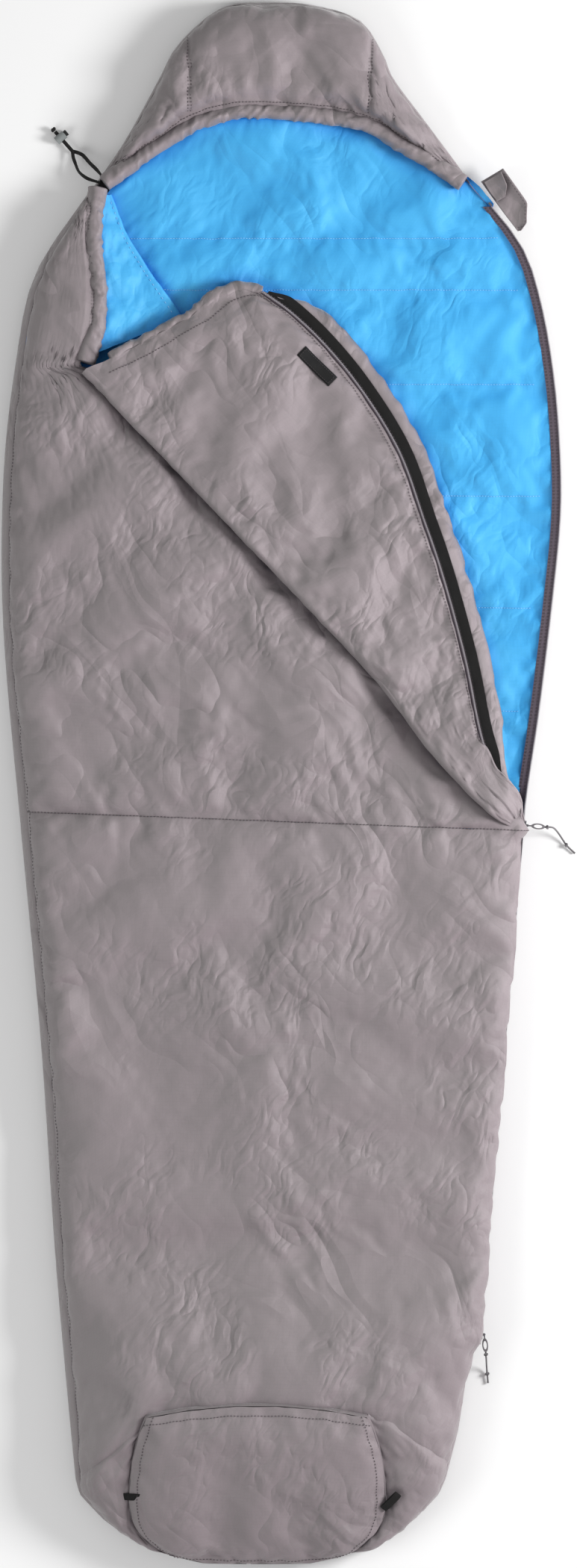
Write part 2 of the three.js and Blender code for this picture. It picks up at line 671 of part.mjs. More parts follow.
add(
  lock,
  "cord_lock_body",
  without(
    disc(BARREL_R, BARREL_OPEN, BARREL_END),
    disc(BORE_R, BARREL_OPEN - 1, BORE_END),
    box(-10, 10, -slotHalf, slotHalf, -slotTop, slotTop),
  ),
  greyPlastic,
);
const PLUNGER_END = slotHalf + 0.9;
add(
  lock,
  "cord_lock_button",
  without(
    disc(PLUNGER_R, -9.5, PLUNGER_END),
    box(-10, 10, -slotHalf - PRESS, slotHalf, -slotTop, slotTop),
  ),
  blackPlastic,
);
const springTurns = 3.5;
const springPath = Array.from({ length: 36 }, (_, i) => {
  const a = (2 * Math.PI * springTurns * i) / 35;
  return v3(3 * Math.cos(a), lerp(PLUNGER_END + 0.7, BORE_END - 0.7, i / 35), 3 * Math.sin(a));
});
add(lock, "cord_lock_spring", sweep(springPath, 0.4, 56, 6), springSteel);

// ---------------------------------------------------------------- zip garage tab

// A two-layer fabric tab outside the top of the open zip, hinged on the bag's edge.
const TAB_OUTLINE = [v2(278, 849), v2(330, 779), v2(342, 790), v2(343, 819), v2(309, 867)];
add(bag, "zip_garage_tab", prism(TAB_OUTLINE, 26, 1.2), greyShell);
const tabFold = [v2(281, 848), v2(301, 821), v2(312, 840), v2(306, 860)];
add(bag, "zip_garage_tab_fold", prism(tabFold, 27.5, 1), greyShell);

// ---------------------------------------------------------------- foot box

// In the foot panel's frame x is world x, y runs up the panel and z out of its outer face.
const footTilt = radians(FOOT_TILT_DEG);
const footNormal = v3(0, -Math.sin(footTilt), Math.cos(footTilt));
const foot = seat(bag, v3(FOOT_X, FOOT_HINGE_Y, FOOT_HINGE_Z), v3(1, 0, 0), footNormal);

// Rounded trapezium: flat sewn top, bulging sides, shallow curve at the heel.
function footOutline(inset) {
  const w = FOOT_HALF_WIDTH - inset;
  const l = FOOT_LENGTH - inset;
  const shape = new THREE.Shape();
  shape.moveTo(-0.42 * w, inset + 1);
  shape.quadraticCurveTo(0, inset - 1, 0.42 * w, inset + 1);
  shape.bezierCurveTo(0.85 * w, inset + 12, w, 0.22 * l, w, 0.38 * l);
  shape.bezierCurveTo(w, 0.62 * l, 0.93 * w, 0.82 * l, 0.86 * w, 0.925 * l);
  shape.quadraticCurveTo(0, 1.075 * l, -0.86 * w, 0.925 * l);
  shape.bezierCurveTo(-0.93 * w, 0.82 * l, -w, 0.62 * l, -w, 0.38 * l);
  shape.bezierCurveTo(-w, 0.22 * l, -0.85 * w, inset + 12, -0.42 * w, inset + 1);
  return shape.getPoints(5);
}
const footBottom = -(LINING + FOOT_BATT + SHELL + 2 * GAP) / 2;
const footShellZ = -footBottom - SHELL;
add(foot, "foot_panel_lining", prism(footOutline(4), footBottom, LINING), blueLining);
add(foot, "foot_panel_insulation", prism(footOutline(4), footBottom + LINING + GAP, FOOT_BATT), padding);
add(foot, "foot_panel_shell", prism(footOutline(0), footShellZ, SHELL), greyShell);

// Triangular gussets run from the panel's sides down to the outer corners.
function gusset(corners) {
  const thick = 3;
  const raised = corners.map((p) => p.clone().add(v3(0, 0, thick)));
  return loft([corners, raised]);
}
const leftGusset = gusset([v3(-206, -892, 92), v3(-289, -1000, 27), v3(-234, -1052, 36)]);
const rightGusset = gusset([v3(146, -888, 92), v3(161, -1052, 36), v3(238, -976, 27)]);
add(bag, "foot_gusset_left", leftGusset, greyShell);
add(bag, "foot_gusset_right", rightGusset, greyShell);

// ---------------------------------------------------------------- hanging loops

const LOOP_LENGTH = 31;
const WEB_WIDTH = 10.5;
const WEB = 1.2;
// A band of webbing doubled back on itself, hinged at its sewn end.
function hangLoop() {
  const low = 0.3; // clear of the fabric below
  const space = 0.8; // between the two layers, and the bevel of the outer end
  const top = low + 2 * WEB + space;
  const between = [low + WEB, low + WEB + space];
  const inner = [
    v2(between[0], 1.2), v2(between[0], LOOP_LENGTH - 2), v2(between[1], LOOP_LENGTH - 2),
    v2(between[1], 1.2),
  ];
  const band = [
    v2(low, 0), v2(top, 0), v2(top, LOOP_LENGTH - space), v2(top - space, LOOP_LENGTH),
    v2(low + space, LOOP_LENGTH), v2(low, LOOP_LENGTH - space),
  ];
  return prismY(band, -WEB_WIDTH / 2, WEB_WIDTH, [inner]);
}
const gussetNormal = v3(-0.458, -0.282, 1);
const leftLoop = seat(bag, v3(-224, -999, 65), v3(-1, 0, -0.458), gussetNormal);
add(leftLoop, "hang_loop_left", hangLoop(), blackWebbing);
const rightLoop = seat(
  foot,
  v3(178, 88, -footBottom + 0.5),
  v3(-0.66, -0.75, 0),
  v3(0, 0, 1),
);
add(rightLoop, "hang_loop_right", hangLoop(), blackWebbing);

export default bag;
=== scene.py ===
import math
import bpy
import numpy as np
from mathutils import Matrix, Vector
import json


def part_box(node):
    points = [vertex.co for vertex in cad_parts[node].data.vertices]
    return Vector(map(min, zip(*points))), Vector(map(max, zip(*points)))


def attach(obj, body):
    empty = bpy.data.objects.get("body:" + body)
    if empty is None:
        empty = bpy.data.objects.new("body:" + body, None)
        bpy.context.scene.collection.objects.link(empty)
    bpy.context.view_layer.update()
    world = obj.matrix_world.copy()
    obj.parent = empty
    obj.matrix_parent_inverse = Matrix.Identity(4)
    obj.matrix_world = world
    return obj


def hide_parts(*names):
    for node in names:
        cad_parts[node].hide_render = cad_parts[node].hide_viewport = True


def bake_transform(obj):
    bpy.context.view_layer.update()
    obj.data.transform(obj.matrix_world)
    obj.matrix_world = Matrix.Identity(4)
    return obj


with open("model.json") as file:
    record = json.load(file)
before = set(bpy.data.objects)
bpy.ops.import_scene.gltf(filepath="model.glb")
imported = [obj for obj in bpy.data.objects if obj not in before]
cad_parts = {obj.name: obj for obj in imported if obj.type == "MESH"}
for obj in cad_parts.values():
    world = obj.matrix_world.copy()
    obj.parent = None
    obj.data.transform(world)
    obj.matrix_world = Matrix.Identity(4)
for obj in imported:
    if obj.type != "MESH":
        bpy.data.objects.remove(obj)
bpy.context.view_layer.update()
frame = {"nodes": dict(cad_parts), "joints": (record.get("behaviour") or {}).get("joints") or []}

# Lengths are in metres. +Y runs from the foot to the head, +X towards the zip, +Z up.

# ------------------------------------------------------------------ small geometry tools


def lerp(a, b, t):
    return a + (b - a) * t


def smooth(t):
    t = np.clip(t, 0, 1)
    return t * t * (3 - 2 * t)


def unit(v):
    v = np.asarray(v, float)
    return v / np.maximum(np.linalg.norm(v, axis=-1, keepdims=True), 1e-12)


def lengths(line):
    """Distance along a line at each of its points."""
    return np.concatenate([[0], np.cumsum(np.linalg.norm(np.diff(line, axis=0), axis=1))])


def respace(line, count):
    """The same line with count points at equal distances."""
    line = np.asarray(line, float)
    along = lengths(line)
    at = np.linspace(0, along[-1], count)
    return np.stack([np.interp(at, along, line[:, c]) for c in range(line.shape[1])], 1)


def curve(points, count=60):
    """A smooth open curve through a few points."""
    p = np.asarray(points, float)
    p = np.vstack([2 * p[0] - p[1], p, 2 * p[-1] - p[-2]])
    t = np.linspace(0, 1, 16, endpoint=False)[:, None]
    parts = []
    for p0, p1, p2, p3 in zip(p[:-3], p[1:-2], p[2:-1], p[3:]):
        cubic = -p0 + 3 * p1 - 3 * p2 + p3
        parts.append(0.5 * (2 * p1 + (p2 - p0) * t + (2 * p0 - 5 * p1 + 4 * p2 - p3) * t**2 + cubic * t**3))
    return respace(np.vstack(parts + [p[-2:-1]]), count)


def beside(line, distance):
    """A line moved sideways in its own XY plane: positive is to the left of its travel."""
    along = unit(np.gradient(line[:, :2], axis=0))
    moved = line.copy()
    moved[:, 0] -= along[:, 1] * distance
    moved[:, 1] += along[:, 0] * distance
    return moved


def noise(u, v, seed, cells=97):
    """Smooth random field in -1..1 with one feature per unit."""
    lattice = np.random.default_rng(seed).uniform(-1, 1, (cells, cells))
    i, j = np.floor(u).astype(int), np.floor(v).astype(int)
    a, b = smooth(u - i), smooth(v - j)
    at = lambda di, dj: lattice[(i + di) % cells, (j + dj) % cells]
    return lerp(lerp(at(0, 0), at(1, 0), a), lerp(at(0, 1), at(1, 1), a), b)


def creases(u, v, seed):
    """Soft ridges, as in lightly crushed cloth; u and v in metres."""
    wu = u + 0.03 * noise(u * 9, v * 9, seed + 1)
    wv = v + 0.03 * noise(u * 9, v * 9, seed + 2)
    total = 0
    for k, (scale, gain) in enumerate([(9, 1.0), (19, 0.5), (37, 0.25)]):
        a = 0.6 + 1.9 * k
        p, q = wu * math.cos(a) + wv * math.sin(a), wv * math.cos(a) - wu * math.sin(a)
        total = total + gain * (0.6 - 1.8 * np.abs(noise(p * scale, q * scale * 0.45, seed + 5 * k)))
    return total


# ------------------------------------------------------------------ grids of points


def normals(P, up=None):
    n = unit(np.cross(np.gradient(P, axis=1), np.gradient(P, axis=0)))
    if up is not None and np.sum(n @ np.asarray(up, float)) < 0:
        n = -n
    return n


def extent(P):
    """Distances in metres along both directions of a grid."""
    u = np.linalg.norm(np.diff(P, axis=0), axis=2).cumsum(0)
    v = np.linalg.norm(np.diff(P, axis=1), axis=2).cumsum(1)
    return np.vstack([np.zeros((1, P.shape[1])), u]), np.hstack([np.zeros((P.shape[0], 1)), v])


def finer(P):
    """The grid with twice as many cells each way, on a smooth surface through its points."""
    for axis in (0, 1):
        Q = np.moveaxis(P, axis, 0)
        padded = np.concatenate([2 * Q[:1] - Q[1:2], Q, 2 * Q[-1:] - Q[-2:-1]])
        middle = (9 * (padded[1:-2] + padded[2:-1]) - padded[:-3] - padded[3:]) / 16
        out = np.empty((2 * len(Q) - 1,) + Q.shape[1:])
        out[::2], out[1::2] = Q, middle
        P = np.moveaxis(out, 0, axis)
    return P


def coons(c0, c1, d0, d1):
    """A grid inside four edges: c0 and c1 run along the first axis, d0 and d1 along the second."""
    s = np.linspace(0, 1, len(c0))[:, None, None]
    t = np.linspace(0, 1, len(d0))[None, :, None]
    sides = (1 - t) * c0[:, None] + t * c1[:, None] + (1 - s) * d0[None] + s * d1[None]
    corners = (1 - s) * ((1 - t) * c0[0] + t * c1[0]) + s * ((1 - t) * c0[-1] + t * c1[-1])
    return sides - corners


def ruled(a, b, count):
    t = np.linspace(0, 1, count)[None, :, None]
    return lerp(a[:, None], b[:, None], t)


def edge_distance(P, sides):
    """Distance of each grid point from the nearest of the named edges: s0, s1 (first axis), t0, t1."""
    u, v = extent(P)
    found = {"s0": u, "s1": u[-1:] - u, "t0": v, "t1": v[:, -1:] - v}
    return np.min([found[k] for k in sides], axis=0)


def puff(P, sides, height, reach=0.02, up=(0, 0, 1)):
    """Padding swells away from the sewn edges."""
    d = edge_distance(P, sides)
    return P + normals(P, up) * (height * (1 - np.exp(-d / reach)))[..., None]


def pucker(P, sides, height, reach, pitch, seed, up=(0, 0, 1)):
    """Small gathers across sewn edges, dying out over reach."""
    n = normals(P, up)
    for k, side in enumerate(sides):
        u, v = extent(P)
        along = (v if side[0] == "s" else u) / pitch
        across = edge_distance(P, [side])
        wave = noise(along, across / reach * 0.7, seed + k) + 0.5 * noise(along * 2.1, across / reach, seed + k + 50)
        fade = np.exp(-across / reach) * smooth(across / 0.004)
        P = P + n * (height * wave * fade)[..., None]
    return P


# ------------------------------------------------------------------ looks


def nodes_of(name):
    look = bpy.data.materials.new(name)
    look.use_nodes = True
    tree = look.node_tree
    return look, tree, tree.nodes["Principled BSDF"]


def add_node(tree, kind, inputs=(), **settings):
    node = tree.nodes.new(kind)
    for key, value in settings.items():
        setattr(node, key, value)
    for key, value in dict(inputs).items():
        if isinstance(value, bpy.types.NodeSocket):
            tree.links.new(value, node.inputs[key])
        else:
            node.inputs[key].default_value = value
    return node


def linear(rgb):
    """sRGB 0..255 to linear light."""
    c = np.array(rgb, float) / 255
    return tuple(np.where(c <= 0.04045, c / 12.92, ((c + 0.055) / 1.055) ** 2.4)) + (1.0,)


def mix(tree, factor, a, b, kind="MIX"):
    node = add_node(tree, "ShaderNodeMix", data_type="RGBA", blend_type=kind)
    for key, value in ((0, factor), (6, a), (7, b)):
        if isinstance(value, bpy.types.NodeSocket):
            tree.links.new(value, node.inputs[key])
        else:
            node.inputs[key].default_value = value
    return node.outputs[2]


def maths(tree, kind, a, b=0.0):
    node = add_node(tree, "ShaderNodeMath", operation=kind)
    for key, value in ((0, a), (1, b)):
        if isinstance(value, bpy.types.NodeSocket):
            tree.links.new(value, node.inputs[key])
        else:
            node.inputs[key].default_value = value
    return node.outputs[0]


def crease_height(tree, place, scale, seed, turn):
    """Thin folds that branch and fade: a warped network of lines, each a valley between two soft facets."""
    warp = add_node(tree, "ShaderNodeTexNoise", {"Vector": place, "Scale": scale * 0.9, "Detail": 1.0}, noise_dimensions="4D")
    warp.inputs["W"].default_value = seed
    shift = add_node(tree, "ShaderNodeVectorMath", {0: warp.outputs[1], 1: (0.9 / scale,) * 3}, operation="MULTIPLY")
    moved = add_node(tree, "ShaderNodeVectorMath", {0: place, 1: shift.outputs[0]}, operation="ADD")
    long = add_node(tree, "ShaderNodeMapping", {"Vector": moved.outputs[0], "Rotation": (0, 0, turn), "Scale": (1.0, 2.1, 1.0)}, vector_type="TEXTURE")
    net = add_node(tree, "ShaderNodeTexVoronoi", {"Vector": long.outputs[0], "Scale": scale}, feature="DISTANCE_TO_EDGE")
    valley = add_node(tree, "ShaderNodeMapRange", {"Value": net.outputs["Distance"], "From Max": 0.16})
    ridge = add_node(tree, "ShaderNodeTexNoise", {"Vector": long.outputs[0], "Scale": scale * 1.4, "Detail": 2.0, "Roughness": 0.5})
    fold = maths(tree, "ABSOLUTE", maths(tree, "SUBTRACT", ridge.outputs[0], 0.5))
    fold = add_node(tree, "ShaderNodeMapRange", {"Value": fold, "From Max": 0.16})
    where = add_node(tree, "ShaderNodeTexNoise", {"Vector": place, "Scale": scale * 0.45, "Detail": 0.0}, noise_dimensions="4D")
    where.inputs["W"].default_value = seed + 7
    share = add_node(tree, "ShaderNodeMapRange", {"Value": where.outputs[0], "From Min": 0.40, "From Max": 0.62, "To Min": 0.12})
    both = maths(tree, "ADD", maths(tree, "MULTIPLY", valley.outputs[0], 0.35), maths(tree, "MULTIPLY", fold.outputs[0], 0.65))
    return maths(tree, "MULTIPLY", both, share.outputs[0])


def fabric(name, base, turned, crease_shade, roughness=0.5, sheen=0.25, grid=0.005, weave=0.0006, bump=0.25, mottle=0.10, folds=0.0, fold_scale=9.0):
    """Woven cloth: base is its colour on sides facing the key light, turned a darker painted shade on sides turned
    away from it, and the third colour a painted shade for its folds and hollows.
    """
    look, tree, shader = nodes_of(name)
    uv = tree.nodes.new("ShaderNodeTexCoord").outputs["UV"]
    place = tree.nodes.new("ShaderNodeTexCoord").outputs["Object"]
    split = add_node(tree, "ShaderNodeSeparateXYZ", {"Vector": uv})
    lines = []
    for axis in ("X", "Y"):
        cell = maths(tree, "FRACT", maths(tree, "MULTIPLY", split.outputs[axis], 1 / grid))
        lines.append(maths(tree, "LESS_THAN", cell, 0.12))
    ripstop = maths(tree, "MAXIMUM", *lines)
    threads = []
    for axis in ("X", "Y"):
        phase = maths(tree, "MULTIPLY", split.outputs[axis], 2 * math.pi / weave)
        threads.append(maths(tree, "SINE", phase))
    thread = maths(tree, "MULTIPLY", *threads)
    patches = add_node(tree, "ShaderNodeTexNoise", {"Vector": place, "Scale": 5.0, "Detail": 3.0, "Roughness": 0.55})
    fine = add_node(tree, "ShaderNodeTexNoise", {"Vector": place, "Scale": 60.0, "Detail": 2.0, "Roughness": 0.7})
    facing = tree.nodes.new("ShaderNodeNewGeometry").outputs["Normal"]
    if folds:
        large = crease_height(tree, place, fold_scale, 1.3, 0.72)
        small = crease_height(tree, place, fold_scale * 2.7, 5.1, -0.5)
        relief = maths(tree, "ADD", large, maths(tree, "MULTIPLY", small, 0.30))
        creased = add_node(tree, "ShaderNodeBump", {"Height": relief, "Strength": 1.0, "Distance": folds})
        facing = creased.outputs[0]
    normal = add_node(tree, "ShaderNodeSeparateXYZ", {"Vector": facing})
    # Painted light and shade: normals that face right and towards the foot, the key light's side, take the base
    # colour; normals turned away take the darker turned colour.
    tilt = maths(tree, "ADD", maths(tree, "MULTIPLY", normal.outputs["X"], 1.1), maths(tree, "MULTIPLY", normal.outputs["Y"], -0.7))
    lit_side_share = add_node(tree, "ShaderNodeClamp", {"Value": maths(tree, "ADD", 0.5, tilt)})
    colour = mix(tree, lit_side_share.outputs[0], linear(turned), linear(base))
    # Painted shade: ambient occlusion mixes the third, darker colour into folds, creases and hollows.
    depth = add_node(tree, "ShaderNodeAmbientOcclusion", {"Distance": 0.03}, samples=4)
    unshaded_share = maths(tree, "POWER", depth.outputs["AO"], 1.3)
    colour = mix(tree, unshaded_share, linear(crease_shade), colour)
    spread = maths(tree, "MULTIPLY", maths(tree, "SUBTRACT", patches.outputs[0], 0.5), 2 * mottle)
    spread = maths(tree, "ADD", spread, maths(tree, "MULTIPLY", maths(tree, "SUBTRACT", fine.outputs[0], 0.5), mottle))
    bright = maths(tree, "ADD", maths(tree, "ADD", 1.0, spread), maths(tree, "MULTIPLY", ripstop, -0.035))
    grey = add_node(tree, "ShaderNodeCombineColor", {0: bright, 1: bright, 2: bright})
    tree.links.new(mix(tree, 1.0, colour, grey.outputs[0], "MULTIPLY"), shader.inputs["Base Color"])
    worn = maths(tree, "ADD", roughness, maths(tree, "MULTIPLY", maths(tree, "SUBTRACT", fine.outputs[0], 0.5), 0.15))
    tree.links.new(worn, shader.inputs["Roughness"])
    shader.inputs["Sheen Weight"].default_value = sheen
    shader.inputs["Sheen Roughness"].default_value = 0.4
    shader.inputs["Specular IOR Level"].default_value = 0.35
    relief = maths(tree, "ADD", maths(tree, "MULTIPLY", thread, 0.3), maths(tree, "MULTIPLY", ripstop, 0.5))
    relief = maths(tree, "ADD", relief, maths(tree, "MULTIPLY", fine.outputs[0], 3.0))
    height = add_node(tree, "ShaderNodeBump", {"Height": relief, "Strength": bump, "Distance": 0.0006, "Normal": facing})
    tree.links.new(height.outputs[0], shader.inputs["Normal"])
    return look


def plain(name, rgb, roughness, metallic=0.0, wear=0.08, scale=400.0, bump=0.15, alpha=1.0, through=0.0):
    """Hard or thread-like surface with slight wear."""
    look, tree, shader = nodes_of(name)
    place = tree.nodes.new("ShaderNodeTexCoord").outputs["Object"]
    fine = add_node(tree, "ShaderNodeTexNoise", {"Vector": place, "Scale": scale, "Detail": 4.0})
    light = maths(tree, "ADD", 1 - wear, maths(tree, "MULTIPLY", fine.outputs[0], 2 * wear))
    grey = add_node(tree, "ShaderNodeCombineColor", {0: light, 1: light, 2: light})
    tree.links.new(mix(tree, 1.0, linear(rgb), grey.outputs[0], "MULTIPLY"), shader.inputs["Base Color"])
    shader.inputs["Metallic"].default_value = metallic
    rough = maths(tree, "ADD", roughness - wear, maths(tree, "MULTIPLY", fine.outputs[0], 2 * wear))
    tree.links.new(rough, shader.inputs["Roughness"])
    shader.inputs["Transmission Weight"].default_value = through
    height = add_node(tree, "ShaderNodeBump", {"Height": fine.outputs[0], "Strength": bump, "Distance": 0.0003})
    tree.links.new(height.outputs[0], shader.inputs["Normal"])
    return look


# In each fabric look the first colour is the cloth's own, the second a painted shade for sides turned from the key
# light, the third a painted shade for folds and hollows.
GREY = fabric("shell_nylon", (145, 134, 138), (134, 128, 129), (82, 74, 79), 0.45, 0.3, folds=0.0085, fold_scale=8.0)
BLUE = fabric("lining_taffeta", (78, 182, 236), (58, 166, 232), (0, 108, 220), 0.58, 0.08, mottle=0.05, bump=0.15, folds=0.0042, fold_scale=8.0)
TAPE = fabric("zip_tape_knit", (112, 98, 110), (100, 90, 100), (60, 52, 58), 0.75, 0.2, 0.0016, 0.0008, 0.5)
STRIP = fabric("strip_webbing", (24, 22, 22), (20, 19, 19), (8, 8, 8), 0.85, 0.05, 0.0012, 0.0007, 0.7)
CORD = fabric("flat_cord", (28, 26, 26), (20, 19, 20), (8, 8, 8), 0.8, 0.1, 0.0015, 0.0008, 0.8)
LABEL = fabric("label_weave", (15, 14, 15), (11, 11, 12), (5, 5, 5), 0.7, 0.03, 0.001, 0.0005, 0.4)
COIL = plain("zip_coil_nylon", (176, 170, 176), 0.35)
PULLCORD = fabric("pull_cord_braid", (132, 128, 132), (112, 108, 112), (60, 58, 60), 0.8, 0.5, 0.0018, 0.0009, 0.8)
METAL = plain("slider_lacquered_metal", (118, 116, 122), 0.38, 0.75)
BLACK = plain("button_black_plastic", (22, 22, 23), 0.4)
CLEAR = plain("lock_grey_plastic", (150, 155, 155), 0.25, through=0.25)
STEEL = plain("spring_steel", (200, 202, 205), 0.3, 1.0)
THREAD = plain("thread_dark", (74, 66, 70), 0.8)
BLUE_THREAD = plain("thread_blue", (150, 214, 248), 0.8)
GREY_THREAD = plain("thread_grey", (120, 112, 116), 0.8)

# ------------------------------------------------------------------ building meshes


def mesh_object(name, verts, faces, look, uv=None, soft=True):
    mesh = bpy.data.meshes.new(name)
    mesh.from_pydata(np.asarray(verts).reshape(-1, 3).tolist(), [], np.asarray(faces).tolist())
    if uv is not None:
        layer = mesh.uv_layers.new(name="UVMap")
        order = np.asarray(faces).ravel()
        layer.data.foreach_set("uv", np.asarray(uv, np.float32).reshape(-1, 2)[order].ravel())
    mesh.polygons.foreach_set("use_smooth", [soft] * len(mesh.polygons))
    mesh.materials.append(look)
    obj = bpy.data.objects.new(name, mesh)
    bpy.context.scene.collection.objects.link(obj)
    return obj


def quads(rows, columns, flip=False, loop=False):
    index = np.arange(rows * columns).reshape(rows, columns)
    if loop:
        index = np.hstack([index, index[:, :1]])
    corners = [index[:-1, :-1], index[:-1, 1:], index[1:, 1:], index[1:, :-1]]
    return np.stack(corners[::-1] if flip else corners, -1).reshape(-1, 4)


def sheet(name, P, look, up=(0, 0, 1), flip=None):
    """A cloth surface over a grid of points, with texture coordinates in metres."""
    if flip is None:
        flip = np.sum(normals(P) @ np.asarray(up, float)) < 0
    u, v = extent(P)
    return mesh_object(name, P, quads(*P.shape[:2], flip=flip), look, np.stack([v, u], -1))


def rings(name, line, section, look, closed=True, cap=True):
    """A body swept along a line; section(i) gives each ring's offsets (sideways, upwards)."""
    along = unit(np.gradient(line, axis=0))
    side = unit(np.cross(along, np.array([0.0, 0.0, 1.0]) + 1e-6))
    top = np.cross(side, along)
    offsets = np.array([section(i) for i in range(len(line))])
    P = line[:, None] + offsets[..., :1] * side[:, None] + offsets[..., 1:] * top[:, None]
    count = P.shape[1]
    faces = quads(len(line), count, loop=closed).tolist()
    uv = np.stack(np.broadcast_arrays(np.linspace(0, 1, count)[None] * 0.02, lengths(line)[:, None]), -1)
    obj = mesh_object(name, P, faces, look, uv)
    if cap and closed:
        mesh = obj.data
        bpy.context.view_layer.objects.active = obj
        fill = bpy.data.meshes.new(name)
        ends = [list(range(count))[::-1], [(len(line) - 1) * count + k for k in range(count)]]
        fill.from_pydata(P.reshape(-1, 3).tolist(), [], faces + ends)
        layer = fill.uv_layers.new(name="UVMap")
        order = [k for f in faces + ends for k in f]
        layer.data.foreach_set("uv", np.asarray(uv, np.float32).reshape(-1, 2)[order].ravel())
        fill.polygons.foreach_set("use_smooth", [True] * len(faces) + [False] * 2)
        fill.materials.append(look)
        obj.data = fill
        bpy.data.meshes.remove(mesh)
    return obj


def circle(count, wide=1.0, tall=1.0, turn=0.0):
    a = np.linspace(0, 2 * np.pi, count, endpoint=False) + turn
    return np.stack([wide * np.cos(a), tall * np.sin(a)], 1)


def tube(name, line, radius, look, slot, sides=10):
    ring = circle(sides)
    sizes = np.broadcast_to(radius, (len(line),))
    return rings(name, line, lambda i: ring * sizes[i], look)


def strap(name, line, width, thick, look, turns=None):
    """A flat band; turns gives its roll about the line at each point."""
    w, h = width / 2, thick / 2
    flat = np.array([[-w, -h * 0.5], [-w * 0.9, -h], [w * 0.9, -h], [w, -h * 0.5], [w, h * 0.5], [w * 0.9, h], [-w * 0.9, h], [-w, h * 0.5]])
    turns = np.zeros(len(line)) if turns is None else turns

    def section(i):
        c, s = math.cos(turns[i]), math.sin(turns[i])
        return flat @ np.array([[c, s], [-s, c]])

    return rings(name, line, section, look)


def coil(name, line, radius, pitch, look, up=(0, 0, 1), wire=0.00035, squeeze=1.0, steps=8):
    """A zip's nylon coil: one helix with a turn for each tooth."""
    turns = int(lengths(line)[-1] / pitch)
    axis = respace(line, turns * steps)
    along = unit(np.gradient(axis, axis=0))
    side = unit(np.cross(along, np.asarray(up, float)))
    top = np.cross(side, along)
    a = np.arange(len(axis)) * 2 * np.pi / steps
    path = axis + radius * (np.cos(a)[:, None] * side + squeeze * np.sin(a)[:, None] * top)
    n1 = unit(np.cross(unit(np.gradient(path, axis=0)), along))
    n2 = np.cross(unit(np.gradient(path, axis=0)), n1)
    ring = circle(4, wire, wire)
    P = path[:, None] + ring[None, :, :1] * n1[:, None] + ring[None, :, 1:] * n2[:, None]
    return mesh_object(name, P, quads(len(path), 4, loop=True), look)


def stitches(name, lines, look, length=0.0032, gap=0.0016, thick=0.00045, lift=0.0003, up=(0, 0, 1)):
    """Short raised threads along lines."""
    verts, faces = [], []
    for line in lines:
        count = max(int(lengths(line)[-1] / (length + gap)), 1)
        fine = respace(line, count * 4 + 1)
        a, b = fine[:-1:4], fine[3::4]
        b = a + unit(b - a) * length
        along = unit(b - a)
        side = unit(np.cross(along, np.asarray(up, float))) * thick
        top = unit(np.cross(side, along)) * thick
        a, b = a + unit(top) * lift, b + unit(top) * lift
        inner = along * length * 0.2
        block = np.stack([a - top * 0.6, a + inner + side, a + inner + top, a + inner - side,
                          b - inner + side, b - inner + top, b - inner - side, b - top * 0.6], 1)
        base = sum(len(v) for v in verts)
        verts.append(block.reshape(-1, 3))
        shape = np.array([[0, 1, 2, 2], [0, 2, 3, 3], [1, 4, 5, 2], [2, 5, 6, 3], [4, 7, 5, 5], [5, 7, 6, 6]])
        starts = base + 8 * np.arange(len(block))[:, None, None]
        faces += [list(dict.fromkeys(f)) for f in (starts + shape).reshape(-1, 4).tolist()]
    verts = np.vstack(verts)
    mesh = bpy.data.meshes.new(name)
    mesh.from_pydata(verts.tolist(), [], faces)
    mesh.polygons.foreach_set("use_smooth", [True] * len(mesh.polygons))
    mesh.materials.append(look)
    obj = bpy.data.objects.new(name, mesh)
    bpy.context.scene.collection.objects.link(obj)
    return obj


# ------------------------------------------------------------------ cloth

CLOTH_FRAMES = 36
jobs = {}


def to_cloth(name, P, gain=0.5, cap=0.010, hold=0.12, pins=None, shrink=0.06, up=(0, 0, 1)):
    """Queues a grid for the cloth run. Its edges are sewn down and the rest may crumple over the padding."""
    weights = np.full(P.shape[:2], hold)
    weights[0], weights[-1], weights[:, 0], weights[:, -1] = 1, 1, 1, 1
    if pins is not None:
        weights = np.maximum(weights, pins)
    jobs[name] = dict(P=P, gain=gain, cap=cap, weights=weights, shrink=shrink, up=up)


